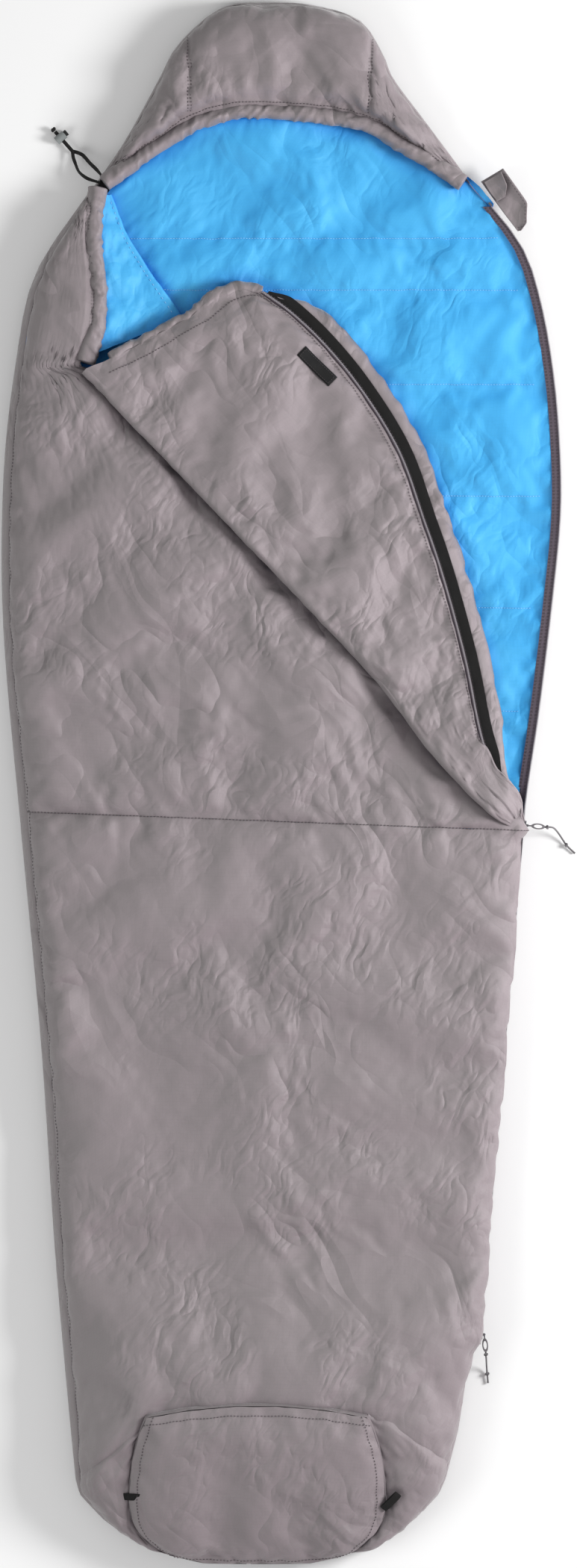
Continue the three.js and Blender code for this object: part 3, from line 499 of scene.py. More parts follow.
def run_cloth():
    rng = np.random.default_rng(11)
    made = {}
    for name, job in jobs.items():
        P = job["P"] + rng.normal(0, 0.0006, job["P"].shape)
        mesh = bpy.data.meshes.new(name)
        mesh.from_pydata(P.reshape(-1, 3).tolist(), [], quads(*P.shape[:2]).tolist())
        obj = bpy.data.objects.new("cloth_" + name, mesh)
        bpy.context.scene.collection.objects.link(obj)
        group = obj.vertex_groups.new(name="held")
        flat = job["weights"].ravel()
        for level in np.unique(np.round(flat, 2)):
            group.add(np.nonzero(np.round(flat, 2) == level)[0].tolist(), float(level), "REPLACE")
        modifier = obj.modifiers.new("cloth", "CLOTH")
        cloth = modifier.settings
        cloth.quality = 4
        cloth.mass = 0.15
        cloth.tension_stiffness = cloth.compression_stiffness = 30
        cloth.shear_stiffness = 12
        cloth.bending_stiffness = 10
        cloth.tension_damping = cloth.compression_damping = cloth.shear_damping = 5
        cloth.bending_damping = 0.5
        cloth.vertex_group_mass = "held"
        cloth.pin_stiffness = 1
        cloth.shrink_min = -job["shrink"]
        cloth.effector_weights.gravity = 0
        modifier.collision_settings.use_collision = False
        modifier.point_cache.frame_start, modifier.point_cache.frame_end = 1, CLOTH_FRAMES
        made[name] = obj
    for step in range(1, CLOTH_FRAMES + 1):
        bpy.context.scene.frame_set(step)
    graph = bpy.context.evaluated_depsgraph_get()
    for name, obj in made.items():
        result = obj.evaluated_get(graph).to_mesh()
        flat = np.zeros(len(result.vertices) * 3)
        result.vertices.foreach_get("co", flat)
        jobs[name]["moved"] = flat.reshape(jobs[name]["P"].shape) - jobs[name]["P"]
    for obj in made.values():
        bpy.data.objects.remove(obj)
    bpy.context.scene.frame_set(1)


def settle(name, fine_height=0.0008, seed=0):
    """The finished grid of one job: cloth displacement limited to its cap, then small creases."""
    job = jobs[name]
    P = job["P"]
    if "moved" in job:
        moved = job["moved"] * job["gain"]
    else:
        u, v = extent(P)
        loose = smooth(edge_distance(P, ["s0", "s1", "t0", "t1"]) / 0.05) * (1 - job["weights"])
        moved = normals(P, job["up"]) * (0.5 * job["cap"] * loose * creases(u, v, seed))[..., None]
    size = np.linalg.norm(moved, axis=2, keepdims=True)
    moved = moved * np.tanh(size / job["cap"]) * job["cap"] / np.maximum(size, 1e-9)
    P = finer(P + moved)
    u, v = extent(P)
    fade = smooth(edge_distance(P, ["s0", "s1", "t0", "t1"]) / 0.015)
    small = creases(u * 1.1, v * 1.1, seed + 17) * 1.6 + creases(u * 2.7, v * 2.7, seed + 31)
    patchy = 0.45 + 0.55 * smooth(0.5 + noise(u * 5, v * 5, seed + 77))
    return P + normals(P, job["up"]) * (fine_height * fade * patchy * small)[..., None]


def rays(P, centre, height, reach, count, seed, up=(0, 0, 1)):
    """Creases that spread from a point where the cloth is gathered or pulled."""
    d = P[..., :2] - np.asarray(centre)[:2]
    r = np.linalg.norm(d, axis=2)
    a = np.arctan2(d[..., 1], d[..., 0]) + 0.15 * noise(r * 12, r * 0, seed + 3)
    wave = 0.45 - 1.5 * np.abs(noise(a * count / 6.283 + 40, r * 5, seed))
    fade = smooth(r / 0.03) * np.exp(-r / reach) * smooth(edge_distance(P, ["s0", "s1", "t0", "t1"]) / 0.01)
    return P + normals(P, up) * (height * wave * fade)[..., None]

# ------------------------------------------------------------------ places read from the frame

JOINT = {j["name"]: j for j in frame["joints"]}


def corners(node):
    mesh = frame["nodes"][node].data
    flat = np.zeros(len(mesh.vertices) * 3)
    mesh.vertices.foreach_get("co", flat)
    return flat.reshape(-1, 3)


class Axes:
    """A local frame: an origin and the directions of its x and z."""

    def __init__(self, origin, x, z):
        self.origin = np.asarray(origin, float)
        self.x = unit(x)
        self.y = unit(np.cross(z, self.x))
        self.z = np.cross(self.x, self.y)
        self.rows = np.array([self.x, self.y, self.z])

    def local(self, points):
        return (np.asarray(points) - self.origin) @ self.rows.T

    def world(self, points):
        return np.asarray(points) @ self.rows + self.origin


def flat_normal(node):
    """Upward normal of a flat, thin node."""
    points = corners(node)
    normal = np.linalg.svd(points - points.mean(0), full_matrices=False)[2][2]
    return normal if normal[2] > 0 else -normal


def midline(points, key, bins):
    """The middle of a long thin node in equal steps of one coordinate."""
    k = points[:, key]
    cuts = np.linspace(k.min(), k.max(), bins + 1)
    groups = [points[(k >= a - 1e-6) & (k <= b + 1e-6)] for a, b in zip(cuts[:-1], cuts[1:])]
    return np.array([(g.min(0) + g.max(0)) / 2 for g in groups if len(g)])


flat = np.vstack([corners("back_shell"), corners("hood_back_shell")])[:, :2]
NECK_Y = JOINT["hood_lift"]["pos_m"][1]
flat = flat[(np.abs(flat[:, 1] - NECK_Y) > 0.004) | (np.abs(flat[:, 0]) > 0.25)]
flat = flat[np.argsort(np.arctan2(flat[:, 0], -flat[:, 1]))]
EDGE = respace(np.vstack([flat, flat[:1]]), 680)[:-1]
toe = np.argmin(EDGE[:, 1])
crown = np.argmax(EDGE[:, 1])
RIGHT = np.array(sorted((p for p in EDGE if p[0] > -0.03), key=lambda p: p[1]))
LEFT = np.array(sorted((p for p in EDGE if p[0] < -0.02), key=lambda p: p[1]))


def left_x(y):
    return np.interp(y, LEFT[:, 1], LEFT[:, 0])


def right_x(y):
    return np.interp(y, RIGHT[:, 1], RIGHT[:, 0])


FLOOR_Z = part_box("back_lining")[1].z
TOP_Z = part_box("front_shell_lower")[1].z - 0.002
CHAIN_Z = JOINT["upper_pull_swing"]["pos_m"][2]
slider_up = np.array(JOINT["upper_pull_swing"]["pos_m"])
zip_dir = -unit(JOINT["upper_slider_slide"]["axis"])
zip_out = np.array([zip_dir[1], -zip_dir[0], 0])
PIN_OUT = 0.0055
SPLIT = slider_up - zip_out * PIN_OUT
ZIP_END = np.array(JOINT["lower_pull_swing"]["pos_m"]) - zip_out * PIN_OUT

fold = JOINT["flap_open"]
FLAP = Axes(fold["pos_m"], fold["axis"], flat_normal("flap_insulation"))
foot = JOINT["foot_box_lift"]
FOOT = Axes(foot["pos_m"], foot["axis"], flat_normal("foot_panel_insulation"))
press = np.array(JOINT["cord_lock_button_press"]["axis"])
lock_low, lock_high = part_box("cord_lock_body")
LOCK = Axes((np.array(lock_low) + np.array(lock_high)) / 2, -np.array(JOINT["cord_lock_slide"]["axis"]), (0, 0, 1))

# ------------------------------------------------------------------ wall and underside of the bag

# Where the wall's top seam lies: (y, inset from the outline, height).
WALL_LEFT = [(-1.11, 0.004, 0.030), (-1.0, 0.006, 0.030), (-0.93, 0.012, 0.043), (0.79, 0.012, 0.043), (0.845, 0.005, 0.030), (0.9, 0.004, 0.027), (1.11, 0.004, 0.027)]
WALL_RIGHT = [(-1.11, 0.004, 0.030), (-1.0, 0.004, 0.031), (-0.81, 0.003, 0.036), (-0.785, 0.0, 0.0285), (-0.07, 0.0, 0.0285), (-0.02, 0.002, 0.0265), (0.8, 0.002, 0.026), (0.86, 0.004, 0.027), (1.11, 0.004, 0.027)]
WALL_FOOT = 0.038


def wall_top(p):
    table = np.array(WALL_LEFT if p[0] < 0 else WALL_RIGHT)
    return np.interp(p[1], table[:, 0], table[:, 1]), np.interp(p[1], table[:, 0], table[:, 2])


ring = np.roll(EDGE, -toe, axis=0)
ring = np.vstack([ring, ring[:1]])
closed = np.vstack([ring[-3:-1], ring, ring[1:3]])
along = unit(closed[4:] - closed[:-4])
outward = np.stack([along[:, 1], -along[:, 0]], 1)
if np.sum(outward * ring) < 0:
    outward = -outward
tops = np.array([wall_top(p) for p in ring])
tuck = smooth((-ring[:, 1] - 0.86) / 0.03)
wall_rows = [(tops[:, 0] + 0.024 * tuck, tops[:, 1] - 0.007 * tuck)]
for t in np.linspace(0, 1, 5)[:-1]:
    wall_rows.append((tops[:, 0] * (1 - t) ** 2, lerp(tops[:, 1], 0.5 * tops[:, 1], t)))
for a in np.linspace(0, math.pi / 2, 6):
    wall_rows.append((WALL_FOOT * (1 - math.cos(a)) + 0 * tops[:, 0], 0.5 * tops[:, 1] * (1 - math.sin(a)) + 0.0004))
wall = np.stack([np.column_stack([ring - outward * inset[:, None], z]) for inset, z in wall_rows], 1)
SEAM = wall[:, 1]


def seam_points(y_from, y_to, side, count):
    """Points of the wall's top seam on one side, between two heights of y."""
    line = SEAM[(SEAM[:, 0] < 0) if side < 0 else (SEAM[:, 0] > 0)]
    line = line[np.argsort(line[:, 1])]
    at = np.linspace(y_from, y_to, count)
    return np.stack([np.interp(at, line[:, 1], line[:, c]) for c in range(3)], 1)


# ------------------------------------------------------------------ front of the bag

CROSS_Y, CROSS_TILT = -0.0527, -0.0377
LIP_Y = -0.892
TAPE_Z = 0.041
CELL = 0.012


def arc(x0, z0, x1, z1, count=9):
    """A quarter round that starts upright at the first point and ends level at the second."""
    a = np.linspace(0, math.pi / 2, count)
    return np.stack([x0 + (x1 - x0) * (1 - np.cos(a)), z0 + (z1 - z0) * np.sin(a)], 1)


def level(x0, x1, z, crown_height, count=9):
    t = np.linspace(0, 1, count)[1:-1]
    return np.stack([lerp(x0, x1, t), z + crown_height * np.sin(math.pi * t)], 1)


def left_seam(y):
    inset, z = wall_top((-1, y))
    return left_x(y) + inset, z


def right_seam(y):
    """Where the front's right edge is sewn: to the zip tape, or to the wall below the zip."""
    inset, z = wall_top((1, y))
    share = smooth((y + 0.81) / 0.03)
    return right_x(y) - inset, lerp(z, TAPE_Z, share)


def near_cross(y):
    """How much the rows slope across the bag: most at the cross seam."""
    return CROSS_TILT * smooth(1 - abs(y - CROSS_Y) / 0.3)


# Beside the foot panel the lip slopes down to an ear at each side: where it starts, and its drop at the outline.
EAR_LEFT, EAR_RIGHT = (-0.185, 0.088), (0.141, 0.066)


def row_ends(y):
    """The y of a row's two ends, where it meets the seams."""
    share = smooth((-y - 0.66) / 0.23)
    ends = []
    for outline, ear in ((left_x, EAR_LEFT), (right_x, EAR_RIGHT)):
        at = y
        for _ in range(3):
            at = y + near_cross(y) * outline(at) - ear[1] * share
        ends.append(at)
    return ends


def row_y(y, x):
    """The y along a row whose points lie at x."""
    share = smooth((-y - 0.66) / 0.23)
    left = EAR_LEFT[1] * np.clip((EAR_LEFT[0] - x) / max(EAR_LEFT[0] - x[0], 0.01), 0, 1)
    right = EAR_RIGHT[1] * np.clip((x - EAR_RIGHT[0]) / max(x[-1] - EAR_RIGHT[0], 0.01), 0, 1)
    return y + near_cross(y) * x - share * (left + right)


def lower_row(y):
    near_foot = smooth((-y - 0.62) / 0.26)
    top = lerp(TOP_Z, 0.096, near_foot)
    y_left, y_right = row_ends(y)
    x0, z0 = left_seam(y_left)
    x1, z1 = right_seam(y_right)
    reach0, reach1 = lerp(0.05, 0.095, near_foot), lerp(0.055, 0.105, near_foot)
    bulge = 0.0075 * smooth((y + 0.86) / 0.08)
    return np.vstack([
        arc(x0, z0, x0 + reach0, top),
        level(x0 + reach0, x1 - reach1, top, 0.006),
        arc(x1, z1, x1 - reach1, top)[::-1] + np.array([bulge, 0]) * np.sin(np.linspace(math.pi, 0, 9))[:, None],
    ])


def fold_x(y):
    a, d = FLAP.origin, FLAP.x
    return a[0] + (y - a[1]) * d[0] / d[1]


NECK_LEFT = curve([(-0.262, 0.838, 0.040), (-0.267, 0.805, 0.047), (-0.268, 0.765, 0.052), (-0.262, 0.709, 0.052), (-0.262, 0.672, 0.052), (-0.266, 0.635, 0.053), (-0.279, 0.592, 0.057)], 60)


def neck_x(y):
    order = np.argsort(NECK_LEFT[:, 1])
    return np.interp(y, NECK_LEFT[order, 1], NECK_LEFT[order, 0])


FOLD_A_Y = FLAP.origin[1]
UNDER = 0.014


def upper_row(y, tilt):
    x0, z0 = left_seam(row_ends(y)[0])
    if y < FOLD_A_Y:
        x1 = fold_x(y)
        for _ in range(3):
            x1 = fold_x(y + tilt * x1)
        under = UNDER * smooth((FOLD_A_Y - y) / 0.05) * smooth((y - CROSS_Y) / 0.12) * 1.4
        dip = 0.006 * smooth((y - CROSS_Y) / 0.15) * smooth((FOLD_A_Y - y) / 0.1)
        end = np.array([(x1 - 0.012, TOP_Z - dip), (x1 + under - 0.004, TOP_Z - dip), (x1 + under, TOP_Z - 0.003 - dip)])
        if y > CROSS_Y + 0.1:
            end = np.vstack([end, arc(x1 + under + 0.009, 0.046, x1 + under, TOP_Z - 0.003 - dip, 5)[::-1][1:]])
        else:
            drop = smooth((CROSS_Y + 0.1 - y) / 0.1)
            end = np.vstack([end[:2], (x1 + 0.004 * (1 - drop) + 0.002, lerp(0.046, TAPE_Z, drop))])
    else:
        x1 = neck_x(y) - 0.006
        end = np.array([(x1 - 0.006, 0.058), (x1, 0.056)])
    width = end[0][0] - x0
    reach = min(0.05, 0.45 * width)
    low = smooth((y - 0.80) / 0.04)
    row = np.vstack([arc(x0, z0, x0 + reach, TOP_Z), level(x0 + reach, end[0][0], TOP_Z, 0.006 * min(1, width / 0.3)), end])
    row[:, 1] = lerp(row[:, 1], np.minimum(row[:, 1], 0.036), low)
    return row


def rows_to_grid(ys, row, sloped=True):
    """Rows of (x, z) turned into a grid; each row may slope across the bag."""
    longest = max(lengths(row(y))[-1] for y in ys)
    count = int(longest / CELL) + 1
    grid = []
    for y in ys:
        r = respace(row(y), count)
        across = row_y(y, r[:, 0]) if sloped else y + 0 * r[:, 0]
        grid.append(np.stack([r[:, 0], across, r[:, 1]], 1))
    return np.array(grid)


lower_ys = np.linspace(LIP_Y, CROSS_Y, int((CROSS_Y - LIP_Y) / CELL) + 1)
upper_ys = np.concatenate([np.linspace(CROSS_Y, FOLD_A_Y, 54), np.linspace(FOLD_A_Y, 0.838, 22)[1:]])
lower = rows_to_grid(lower_ys, lower_row)
upper = rows_to_grid(upper_ys, lambda y: upper_row(y, near_cross(y)))
lower[-1] = np.stack([np.interp(np.linspace(0, 1, lower.shape[1]), np.linspace(0, 1, upper.shape[1]), upper[0, :, c]) for c in range(3)], 1)

across_share = np.linspace(0, 1, upper.shape[1])[None, :]
near_fold = 0.6 * smooth((across_share - 0.90) / 0.06) * (upper_ys < FOLD_A_Y + 0.01)[:, None]
to_cloth("front_lower", lower, gain=0.42, cap=0.010)
narrow = 0.75 * smooth((upper_ys - 0.50) / 0.16)[:, None]
to_cloth("front_upper", upper, gain=0.42, cap=0.010, pins=np.maximum(near_fold, narrow))

# ------------------------------------------------------------------ flap, in its own frame

coil_line = FLAP.local(corners("flap_zip_coil"))
coil_line = curve(midline(coil_line, 0, 26)[:, :2], 90)
neck_line = FLAP.local(corners("flap_neck_channel"))
neck_line = curve(midline(neck_line, 1, 9)[:, :2], 30)
neck_line = np.vstack([neck_line, coil_line[:1]])
ROLL_UP, ROLL_OUT = 0.0085, 0.0085
FLAP_TOP = 0.0085
PULL_IN = 0.0042


def with_z(line, z):
    return np.column_stack([line[:, :2], np.broadcast_to(z, (len(line),))])


inner_tape = beside(coil_line, -PULL_IN)
if inner_tape[40, 1] > coil_line[40, 1]:
    SIDE = -1
    inner_tape = beside(coil_line, PULL_IN)
else:
    SIDE = 1
inward = lambda line, d: beside(line, -SIDE * d)
inner_tape = inner_tape[inner_tape[:, 1] > 0.002]
# Past COVER_X the shell closes over the end of the zip and runs down to the slider.
COVER_X = 0.768
slider_low, slider_high = FLAP.local(np.array([(0.3360, -0.0650, 0.0400), (0.3390, -0.0530, 0.0400)]))
cover_edge = np.array([
    (0.774, 0.0370, 0.0112), (0.786, 0.0350, 0.0118), (0.800, 0.0292, 0.0122), (0.814, 0.0262, 0.0122), (0.829, 0.0272, 0.0112),
    (0.843, 0.0280, 0.0082), (0.854, 0.0272, 0.0030), (0.863, 0.0252, -0.0040), (0.876, 0.0178, -0.0180), slider_high])
zip_side = np.vstack([with_z(inner_tape[inner_tape[:, 0] < COVER_X], FLAP_TOP), curve(cover_edge, 40)])
fold_side = np.vstack([with_z(np.column_stack([np.linspace(0.006, 0.83, 60), np.zeros(60)]), ROLL_UP), [(0.850, -0.0015, 0.0070), (0.874, -0.0015, -0.0050), slider_low]])
fold_side[:, 1] -= 0.017 * smooth((fold_side[:, 0] - 0.58) / 0.18) * (1 - smooth((fold_side[:, 0] - 0.862) / 0.034))
count_s, count_t = 80, 23
fold_side, zip_side = respace(curve(fold_side, 300), count_s), respace(zip_side, count_s)
fold_side[:, 2] += 0.0025 * noise(fold_side[:, 0] * 7, 0 * fold_side[:, 0], 4) * np.sin(np.linspace(0, math.pi, count_s))
neck_inner = respace(np.vstack([fold_side[:1, :2], neck_line[2:-1], zip_side[:1, :2]]), count_t)
flap_grid = coons(fold_side, zip_side, with_z(neck_inner, FLAP_TOP), ruled(fold_side[-1:], zip_side[-1:], count_t)[0])
hold_fold = np.zeros(flap_grid.shape[:2])
hold_fold[:, 1] = 0.4
to_cloth("flap", FLAP.world(puff(flap_grid, ["s0", "s1", "t0", "t1"], 0.003, 0.03)), gain=0.55, cap=0.010, pins=hold_fold)

# ------------------------------------------------------------------ blue floor lining

FLOOR_FROM, FLOOR_TO = -0.20, 0.975
QUILT = [0.775, 0.692, 0.558, 0.400, 0.243, 0.108, -0.03, -0.15]
TAPE_IN = 0.0105
floor_ys = np.linspace(FLOOR_FROM, FLOOR_TO, int((FLOOR_TO - FLOOR_FROM) / CELL) + 1)


def floor_row(y):
    under_hood = smooth((y - 0.87) / 0.03)
    hump = smooth((y - 0.80) / 0.02) * (1 - smooth((y - 0.845) / 0.02))
    inset_right = lerp(lerp(TAPE_IN, 0.004, smooth((y - 0.80) / 0.015)), 0.03, under_hood) - 0.011 * hump
    x0, x1 = left_x(y) + 0.028, right_x(y) - inset_right
    x1 = lerp(x1, x1 - 0.01, float(y < -0.06))
    edge_z = lerp(0.0265, FLOOR_Z, under_hood) + 0.003 * hump
    right = arc(x1, edge_z, x1 - 0.03, FLOOR_Z + 0.002, 6)[::-1] * [1, 1]
    z = np.interp(np.linspace(0, 1, 12), [0, 0.08, 0.5, 1], [FLOOR_Z + 0.004, FLOOR_Z, FLOOR_Z + 0.002, FLOOR_Z + 0.002])
    return np.vstack([np.column_stack([np.linspace(x0, x1 - 0.032, 12), z]), right])


floor_grid = rows_to_grid(floor_ys, floor_row, sloped=False)
quilt_hold = np.zeros(floor_grid.shape[:2])
for y in QUILT:
    quilt_hold[np.argmin(np.abs(floor_ys - y))] = 0.85
away = np.min(np.abs(floor_ys[:, None] - np.array(QUILT)[None]), axis=1)
floor_grid[..., 2] += (0.0035 * (1 - np.exp(-away / 0.025)) - 0.0015)[:, None] * smooth(edge_distance(floor_grid, ["t1", "t0"]) / 0.02)
to_cloth("floor", floor_grid, gain=0.4, cap=0.008, pins=quilt_hold)

# ------------------------------------------------------------------ neck facing

face_in = curve([(-0.252, 0.832, 0.041), (-0.259, 0.79, 0.048), (-0.259, 0.74, 0.052), (-0.253, 0.69, 0.052), (-0.254, 0.65, 0.053), (-0.262, 0.606, 0.055)], 22)
face_out = curve([(-0.246, 0.829, 0.033), (-0.226, 0.777, 0.0335), (-0.205, 0.742, 0.032), (-0.184, 0.71, 0.031), (-0.160, 0.678, 0.0305), (-0.146, 0.654, 0.031)], 22)
face_low = ruled(face_in[-1:], face_out[-1:], 11)[0]
facing = coons(face_in, face_out, ruled(face_in[:1], face_out[:1], 11)[0], face_low)
to_cloth("facing", facing, gain=0.5, cap=0.007, shrink=0.05)

# ------------------------------------------------------------------ hood

rim_local = corners("hood_drawcord")
rim_mid = midline(rim_local, 0, 24)
RIM_R = 0.0095
rim_line = curve(np.vstack([[(-0.252, 0.845, 0.036)], rim_mid[:, :3], [(0.252, 0.845, 0.036)]]), 120)
HOOD_SEAM_X = [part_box("hood_left_panel")[1].x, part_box("hood_right_panel")[0].x]


def split_at(line, xs, counts):
    """A line that runs left to right, cut at the given x and respaced piece by piece."""
    cuts = [0] + [int(np.argmin(np.abs(line[:, 0] - x))) for x in xs] + [len(line) - 1]
    parts = [respace(line[a : b + 1], n + 1) for a, b, n in zip(cuts[:-1], cuts[1:], counts)]
    return np.vstack([p[:-1] for p in parts] + [parts[-1][-1:]])


hood_edge = SEAM[SEAM[:, 1] > NECK_Y + 0.003]
hood_edge = hood_edge[np.argsort(np.arctan2(hood_edge[:, 1] - NECK_Y, hood_edge[:, 0]))[::-1]]
hood_edge = respace(hood_edge, 400)
SPANS = (22, 24, 22)
outer = split_at(hood_edge, [HOOD_SEAM_X[0] - 0.001, HOOD_SEAM_X[1] + 0.002], SPANS)
inner = split_at(respace(rim_line, 400), HOOD_SEAM_X, SPANS)
inner_top = beside(inner, RIM_R * 0.8)
inner_top[:, 2] = 0.040
depth = 15
t = np.linspace(0, 1, depth)
hood_grid = ruled(outer, inner_top, depth)
rise = 0.052 + 0.004 * np.sin(np.linspace(0, math.pi, len(outer)))[:, None]
span = np.linalg.norm((inner_top - outer)[:, :2], axis=1)[:, None]
climb = np.sqrt(1 - (1 - np.clip(t[None] * span / 0.05, 0, 1)) ** 2)
hood_grid[..., 2] = outer[:, None, 2] + (np.minimum(rise, 0.036 + span * 0.25) - outer[:, None, 2]) * climb
hood_grid[..., 2] = lerp(hood_grid[..., 2], inner_top[:, None, 2], smooth((t[None] - 0.8) / 0.2))
seam_hold = np.zeros(hood_grid.shape[:2])
for k in (SPANS[0], SPANS[0] + SPANS[1]):
    seam_hold[k] = 1.0
    near = np.exp(-np.abs(np.arange(len(outer)) - k) / 1.1)[:, None] * np.sin(math.pi * np.clip(t * 1.05, 0, 1))[None]
    hood_grid[..., 2] -= 0.005 * near
to_cloth("hood", hood_grid, gain=0.5, cap=0.009, pins=seam_hold)

# ------------------------------------------------------------------ foot box

panel = FOOT.local(corners("foot_panel_shell"))
centre = np.array([0.0, (panel[:, 1].min() + panel[:, 1].max()) / 2])
panel = panel[np.argsort(np.arctan2(panel[:, 0] - centre[0], panel[:, 1] - centre[1]))]
panel = respace(np.vstack([panel, panel[:1]])[:, :2], 900)[:-1]
angle = np.arctan2(panel[:, 0], panel[:, 1] - centre[1])
half, tall = np.abs(panel[:, 0]).max(), panel[:, 1].max()


def panel_part(a, b, count):
    """The panel's outline from one angle to another, clockwise from its top."""
    turned = (angle - a) % (2 * math.pi)
    keep = turned <= (b - a) % (2 * math.pi) + 1e-9
    line = panel[keep][np.argsort(turned[keep])]
    return respace(line, count)


def corner_angle(x, y):
    return math.atan2(x, y - centre[1])


TL, TR = corner_angle(-0.86 * half, 0.925 * tall), corner_angle(0.86 * half, 0.925 * tall)
BR, BL = corner_angle(0.6 * half, 0.02), corner_angle(-0.6 * half, 0.02)
top_side, right_side = panel_part(TL, TR, 30), panel_part(TR, BR, 22)
bottom_side, left_side = panel_part(BR, BL, 30)[::-1], panel_part(BL, TL, 22)[::-1]
PANEL_Z = 0.0065
panel_grid = coons(with_z(top_side, PANEL_Z), with_z(bottom_side, PANEL_Z), with_z(left_side, PANEL_Z), with_z(right_side, PANEL_Z))
panel_grid = puff(panel_grid, ["s0", "s1", "t0", "t1"], 0.012, 0.035)
to_cloth("foot_panel", FOOT.world(panel_grid), gain=0.5, cap=0.009)

lip_row = lower[0]


def foot_side(side):
    """The strip from the wall's seam to the foot panel, from the lip round to the heel."""
    row = lip_row if side < 0 else lip_row[::-1]
    panel_edge = panel_part(BL, TL, 60)[::-1] if side < 0 else panel_part(TR, BR, 60)
    half_bottom = panel_part(BR, BL, 60)
    half_bottom = half_bottom[half_bottom[:, 0] <= 0.0][::1] if side < 0 else half_bottom[half_bottom[:, 0] >= 0.0][::-1]
    inner_edge = np.vstack([panel_edge, half_bottom[::-1][1:]])
    inner_edge = FOOT.world(with_z(respace(inner_edge, 40), 0.0))
    inner_edge[-1, 0] = FOOT.origin[0]
    keep = SEAM[(SEAM[:, 1] < row[0, 1] - 0.003) & ((SEAM[:, 0] < FOOT.origin[0]) if side < 0 else (SEAM[:, 0] > FOOT.origin[0]))]
    keep = keep[np.argsort(np.arctan2(keep[:, 0] - FOOT.origin[0], -(keep[:, 1] + 0.85)) * side)[::-1]]
    outer_edge = respace(np.vstack([row[:1], keep]), 40)
    first = row[(row[:, 0] <= inner_edge[0, 0]) if side < 0 else (row[:, 0] >= inner_edge[0, 0])]
    first = respace(np.vstack([first, inner_edge[:1]]), 11)
    grid = coons(outer_edge, inner_edge, first, ruled(outer_edge[-1:], inner_edge[-1:], 11)[0])
    return grid


for side, name in ((-1, "foot_side_left"), (1, "foot_side_right")):
    to_cloth(name, foot_side(side), gain=0.45, cap=0.007, shrink=0.05)

run_cloth()

# ------------------------------------------------------------------ finished cloth surfaces


def across_joint(obj, start, end):
    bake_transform(obj)
    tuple(start)
    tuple(end)


LIFT_A, LIFT_B = (0, NECK_Y - 0.015, 0), (0, NECK_Y + 0.015, 0)
body = sheet("back_shell_wall", wall, GREY, flip=None, up=(0, 0, -1))
under_y = np.linspace(-1.066, 1.066, 90)
left_in, right_in = [], []
base_line = wall[:, -1]
for y in under_y:
    near = base_line[np.abs(base_line[:, 1] - y) < 0.02]
    left_in.append((near[:, 0].min(), y, 0.0004))
    right_in.append((near[:, 0].max(), y, 0.0004))
underside = sheet("back_shell_underside", ruled(np.array(left_in), np.array(right_in), 12), GREY, up=(0, 0, -1))
for obj in (body, underside):
    across_joint(obj, LIFT_A, LIFT_B)
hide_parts("back_shell", "hood_back_shell", "left_side_panel", "right_side_panel")
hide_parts("back_insulation", "hood_back_insulation")

ALL = ["s0", "s1", "t0", "t1"]
lower = settle("front_lower", seed=3)
lower = pucker(puff(lower, ALL, 0.004, 0.012), ["s1", "t0"], 0.0016, 0.022, 0.016, 21)
calm = 0.85 * smooth((upper[..., 1] - 0.56) / 0.08)
flat_upper, calm = finer(upper), finer(np.repeat(calm[..., None], 3, 2))
upper = lerp(settle("front_upper", seed=5), flat_upper, calm)
upper = pucker(puff(upper, ["s0", "t0"], 0.004, 0.012), ["s0", "t0"], 0.0016, 0.022, 0.016, 23)
B_END = np.array([0.338, -0.060])
lower = rays(lower, B_END, 0.0035, 0.16, 26, 201)
upper = rays(upper, B_END, 0.0040, 0.20, 30, 203)
upper = rays(upper, FLAP.origin, 0.0018, 0.14, 18, 205)
lower = rays(lower, (-0.19, -0.87), 0.0030, 0.09, 20, 207)
lower = rays(lower, (0.12, -0.87), 0.0030, 0.09, 20, 209)
front_low = sheet("front_shell_lower_cloth", lower, GREY)
front_up = sheet("front_shell_upper_cloth", upper, GREY)
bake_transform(front_low)
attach(front_up, "bag")
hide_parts("front_shell_lower")
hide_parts("front_shell_upper", "front_insulation")

# The front's lining, seen only when the flap lies open.
lining_rows = [respace(upper[i, :, :], 40) * [1, 1, 0] + [0, 0, 0.0455] for i in range(0, upper.shape[0], 6)]
lining_grid = np.array(lining_rows)[:, 2:]
lining_grid[..., 0] = np.minimum(lining_grid[..., 0], 0.320)
lining = sheet("front_lining_cloth", lining_grid, BLUE, up=(0, 0, -1))
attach(lining, "bag")
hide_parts("front_lining")

floor_cloth = settle("floor", 0.0005, seed=7)
floor_cloth = pucker(floor_cloth, ["t1"], 0.0012, 0.02, 0.014, 41)
floor_obj = sheet("floor_lining_cloth", floor_cloth, BLUE)
across_joint(floor_obj, LIFT_A, LIFT_B)
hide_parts("back_lining", "hood_back_lining", "hood_lining")

facing = settle("facing", 0.0005, seed=9)
roll = [facing[:, -1] + np.array([0.004 * math.sin(a), 0.001 * math.sin(a), -0.0045 * (1 - math.cos(a))]) for a in np.linspace(0, math.pi * 0.85, 6)[1:]]
facing = np.concatenate([facing, np.stack(roll, 1)], 1)
facing_obj = sheet("neck_facing_cloth", facing, BLUE)
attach(facing_obj, "bag")
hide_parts("neck_facing_left")

